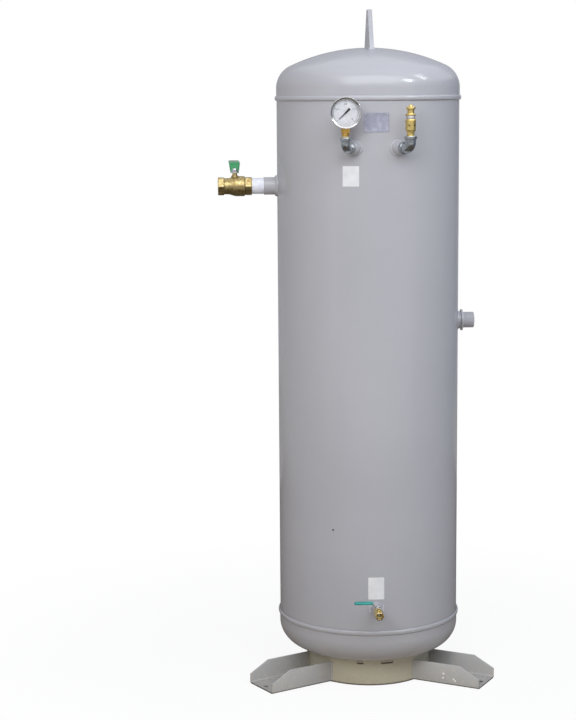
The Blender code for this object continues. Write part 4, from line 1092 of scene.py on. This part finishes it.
def buildGauge():
    column = axis @ move(-columnX, columnY, 0)
    facing = axis @ move(-columnX, columnY, dial["height"]) @ facingFront
    front, rest, reach = dial["front"], dial["rest"], dial["tickEnd"]
    shell, bezel, pane, hub = [[(r, front - depth) for r, depth in dial[key]]
                               for key in ("shell", "bezel", "pane", "hub")]
    hole = moved(plug(0.0118, -0.02, -0.06), turn(-90, "X"))
    lay(carved(turned(shell, 0.0009, 96), hole), "gaugeCase", "tank", steel, facing)
    lay(turned(bezel, 0.0004, 128, 4), "gaugeBezel", "tank", chrome, facing, 50)
    lay(turned(pane, 0.0003, 96), "gaugeGlass", "tank", glass, facing)
    ink = front - dial["ink"]
    lay(lathe(tube(0.0368, 0.0020, ink, ink - 0.0008), 96), "gaugeDial", "tank",
        dialWhite, facing)

    # printed scale: ticks and plain numbers, clockwise from the rest position
    marks = []
    for i in range(dial["parts"] + 1):
        inner, wide = next((inner, wide) for every, inner, wide in dial["ticks"] if i % every == 0)
        tick = block((inner, -wide, ink), (reach, wide, ink + 0.00012))
        marks.append(moved(tick, turn(rest - dial["span"] * i / dial["parts"], "Z")))
    arcMark = lathe(tube(reach + 0.0004, reach, ink + 0.0001, ink), 96)
    for vert in [v for v in arcMark.verts if -pi * 0.75 < atan2(v.co.y, v.co.x) < -pi * 0.25]:
        arcMark.verts.remove(vert)
    bmesh.ops.holes_fill(arcMark, edges=[e for e in arcMark.edges if e.is_boundary])
    lay(joined(arcMark, *marks), "gaugeScale", "tank", inkBlack, facing)
    for number, text in enumerate(dial["numbers"]):
        angle = radians(rest - dial["span"] * number / (len(dial["numbers"]) - 1))
        font = bpy.data.curves.new("figure", "FONT")
        font.body = text
        font.size = dial["figure"]
        font.align_x, font.align_y = "CENTER", "CENTER"
        font.extrude = 0.00005
        place = move(dial["figureAt"] * cos(angle), dial["figureAt"] * sin(angle), ink + 0.00006)
        lay(moved(solidCurve(font), place), f"gaugeNumber{number}", "tank",
            inkBlack, facing)

    # pointer with its counterweight
    blade = [(-0.0120 + 0.0034 * cos(a), 0.0034 * sin(a)) for a in
             (radians(62 + 236 * i / 14) for i in range(15))]
    blade = [(dial["tip"], 0.00025), (0.004, 0.0016)] + blade + [(0.004, -0.0016),
                                                                (dial["tip"], -0.00025)]
    lay(eased(slab(blade, -0.0003, 0.0003), 0.0001, 1), "gaugePointer", "gauge_arbor",
        inkBlack, facing @ move(z=front - 0.0098) @ turn(rest, "Z"))
    lay(turned(hub, 0.0003, 32), "pointerHub", "gauge_arbor", inkBlack, facing)

    top = dial["height"] - dial["case"]
    face = branch["height"] + branches["gauge"]["arm"]
    shank = [(0, top - 0.013), (0.0095, top - 0.013), (0.0095, face + 0.0052),
             (0.0088, face + 0.0046)]
    shank += ridges(0.0086, face + 0.0044, face - 0.006, 0.0012, 0.0005)
    shank += [(0.0082, face - 0.012), (0, face - 0.012)]
    flats = eased(block((-0.0105, -0.0100, top - 0.0145), (0.0105, 0.0100, top - 0.0010)), 0.0007)
    tower = block((-0.0075, -0.0065, top - 0.002), (0.0075, 0.0065, top + 0.0135))
    stem = carved(carved(lathe(shank, 48), flats, operation="UNION"), tower, operation="UNION")
    lay(stem, "gaugeStem", "tank", amberBrass, column, 32)
    wrap = [(0.0096, face + 0.0040), (0.0098, face + 0.0004), (0.0090, face + 0.0004),
            (0.0090, face + 0.0040)]
    lay(turned(wrap, 0.0003, 48), "stemTape", "tank", oldTape, column)


# relief valve

relief = {"seat": 1.5310, "lower": 0.0098, "barrel": 0.01375, "cavity": 0.0098, "neck": 0.0092,
          "spindle": 0.0028, "collar": 0.0142, "inlet": 0.0045,
          "vents": {"radius": 0.0024, "height": 1.5425, "first": -21, "apart": 60, "count": 3},
          "ring": (0.0122, 0.0098, 1.5674, 1.5587),
          "knob": [(0, 1.5960), (0.0026, 1.5958), (0.0048, 1.5946), (0.0058, 1.5928),
                   (0.0058, 1.5908), (0.0050, 1.5901), (0, 1.5901)]}


def buildReliefValve():
    column = axis @ move(columnX, columnY, 0)
    face = branch["height"] + branches["relief"]["arm"]
    lower, barrel, cavity, collar, seat, neck, vents = [
        relief[key] for key in ("lower", "barrel", "cavity", "collar", "seat", "neck", "vents")]
    stemHole = relief["spindle"] + gap
    body = [(cavity, 1.5584, 0), (barrel - 0.0012, 1.5584, 0), (barrel, 1.5560, 0),
            (barrel, 1.5300, 0), (barrel - 0.0012, 1.5281, 0), (lower + 0.0006, 1.5276, 0.7),
            (lower, 1.5262, 1), (lower, face + 0.0040, 1), (lower - 0.0006, face + 0.0028, 0.5),
            (0.0096, face + 0.0020, 0), (0.0092, face - 0.012, 0),
            (relief["inlet"], face - 0.012, 0), (relief["inlet"], seat, 0), (cavity, seat, 0)]
    drills = [moved(plug(vents["radius"], 0.03, -0.03, 24), move(z=vents["height"])
                    @ turn(vents["first"] + vents["apart"] * i, "Z") @ facingFront)
              for i in range(vents["count"])]
    lay(carved(turned(body, 0.0006, 72), *drills), "reliefBody", "tank", dullBrass,
        column, 36)
    lay(turned(tube(*relief["ring"]), 0.0006), "reliefLockRing", "tank",
        satinSteel, column)
    bonnet = [(0.0125, 1.5899), (0.0125, 1.5838), (neck, 1.5832), (neck, 1.5721),
              (collar, 1.5715), (collar, 1.5677), (cavity - gap, 1.5677), (cavity - gap, 1.5530),
              (0.0070, 1.5530), (0.0070, 1.5820), (stemHole, 1.5820), (stemHole, 1.5899)]
    lay(turned(bonnet, 0.0008, 72), "reliefBonnet", "tank", dullBrass, column, 36)
    lay(turned(relief["knob"], 0.0008, 32), "reliefKnob", "relief_stem", dullBrass, column)


# plates and labels

labels = {
    "upperLabel": {"azimuth": -15.55, "low": 1.3835, "high": 1.437, "half": 0.0220},
    "lowerLabel": {"azimuth": -0.2, "low": 0.2675, "high": 0.329, "half": 0.0218},
}
labelSheet = {"thickness": 0.00018, "corner": 0.0020}
drainLabel = {"half": 0.0205, "low": 0.2325, "high": 0.2525, "thickness": 0.00015, "hole": 0.0165}
plate = {"low": 1.5252, "high": 1.5752, "half": 0.0336, "thickness": 0.0009, "rivet": 0.0014,
         "rivetIn": 0.0042, "rivetAt": 0.25115, "corner": 0.0030, "curve": 0.2503, "border": 0.0016,
         "step": 0.0005, "raised": -0.00022}
onPaint = vessel["radius"] + 0.00002


def sheet(half, thickness, low, high, corner):
    # thin flat sheet with rounded corners
    shape = block((-half, -thickness, low), (half, 0, high))
    corners = [e for e in shape.edges if abs(e.verts[0].co.y - e.verts[1].co.y) > thickness / 2]
    return rounded(shape, corners, corner, 4)


def buildLabels():
    for name, d in labels.items():
        label = sheet(d["half"], labelSheet["thickness"], d["low"], d["high"], labelSheet["corner"])
        lay(onShell(label, onPaint, d["azimuth"]), name, "tank", labelPaper, axis)
    small = block((-drainLabel["half"], -drainLabel["thickness"], drainLabel["low"]),
                  (drainLabel["half"], 0, drainLabel["high"]))
    hole = moved(plug(drainLabel["hole"], 0.01, -0.01, 40), portPlace("drain"))
    lay(onShell(carved(small, hole), onPaint), "drainLabel", "tank", fadedPaper, axis)


def buildNameplate():
    low, high, half, t = plate["low"], plate["high"], plate["half"], plate["thickness"]
    metal = sheet(half, t, low, high, plate["corner"])
    frontFace = [f for f in metal.faces if f.calc_center_median().y < -t * 0.9]
    bmesh.ops.inset_region(metal, faces=frontFace, thickness=plate["border"], depth=0.0)
    bmesh.ops.inset_region(metal, faces=frontFace, thickness=plate["step"], depth=plate["raised"])
    lay(onShell(metal, plate["curve"]), "namePlate", "tank", plateMetal, axis, 30,
        "nameplate")
    inset = plate["rivetIn"]
    spots = [(x, z) for z in (low + inset, high - inset) for x in (-1, 1)]
    for number, (x, z) in enumerate(spots):
        head = turned([(0, 0.0010), (plate["rivet"], 0.0007), (plate["rivet"], 0), (0, 0)],
                      0.0005, 24)
        angle = x * (half - inset) / (plate["curve"] + t)
        lay(head, f"plateRivet{number}", "tank", steel,
            axis @ turn(angle * 180 / pi, "Z") @ move(y=-plate["rivetAt"], z=z) @ facingFront)


buildVessel()
print("vessel ready")
buildBase()
buildFeet()
buildLug()
print("base, feet and lug ready")
buildConnections()
buildBranches()
print("connections ready")
inletAt = move(-(inletValve["from"] + inletValve["half"]), 0, ports["inlet"]["height"])
drainAt = move(0, -(drainValve["from"] + drainValve["half"]), ports["drain"]["height"])
inletPlace, drainPlace = axis @ inletAt @ turn(180, "Z"), axis @ drainAt @ turn(-90, "Z")
buildBallValve("inlet", inletValve, inletPlace, castBrass, greenVinyl)
buildBallValve("drain", drainValve, drainPlace, turnedBrass, tealVinyl)
print("valves ready")
buildGauge()
buildReliefValve()
buildLabels()
buildNameplate()
print("gauge, relief valve and labels ready")

# CAD nodes that keep their shape get a finish of their own
kept = (
    (softWhite, ("inlet_seat_outer", "inlet_seat_inner", "inlet_packing", "drain_seat_outer",
                 "drain_seat_inner")),
    (turnedBrass, ("gauge_bourdon_tube", "gauge_works_plate", "gauge_sector", "relief_spindle")),
    (chrome, ("gauge_pinion",)),
    (springSteel, ("relief_spring",)),
)
for finish, names in kept:
    for name in names:
        nodes[name].data.materials.clear()
        nodes[name].data.materials.append(finish)

print("all pieces laid")
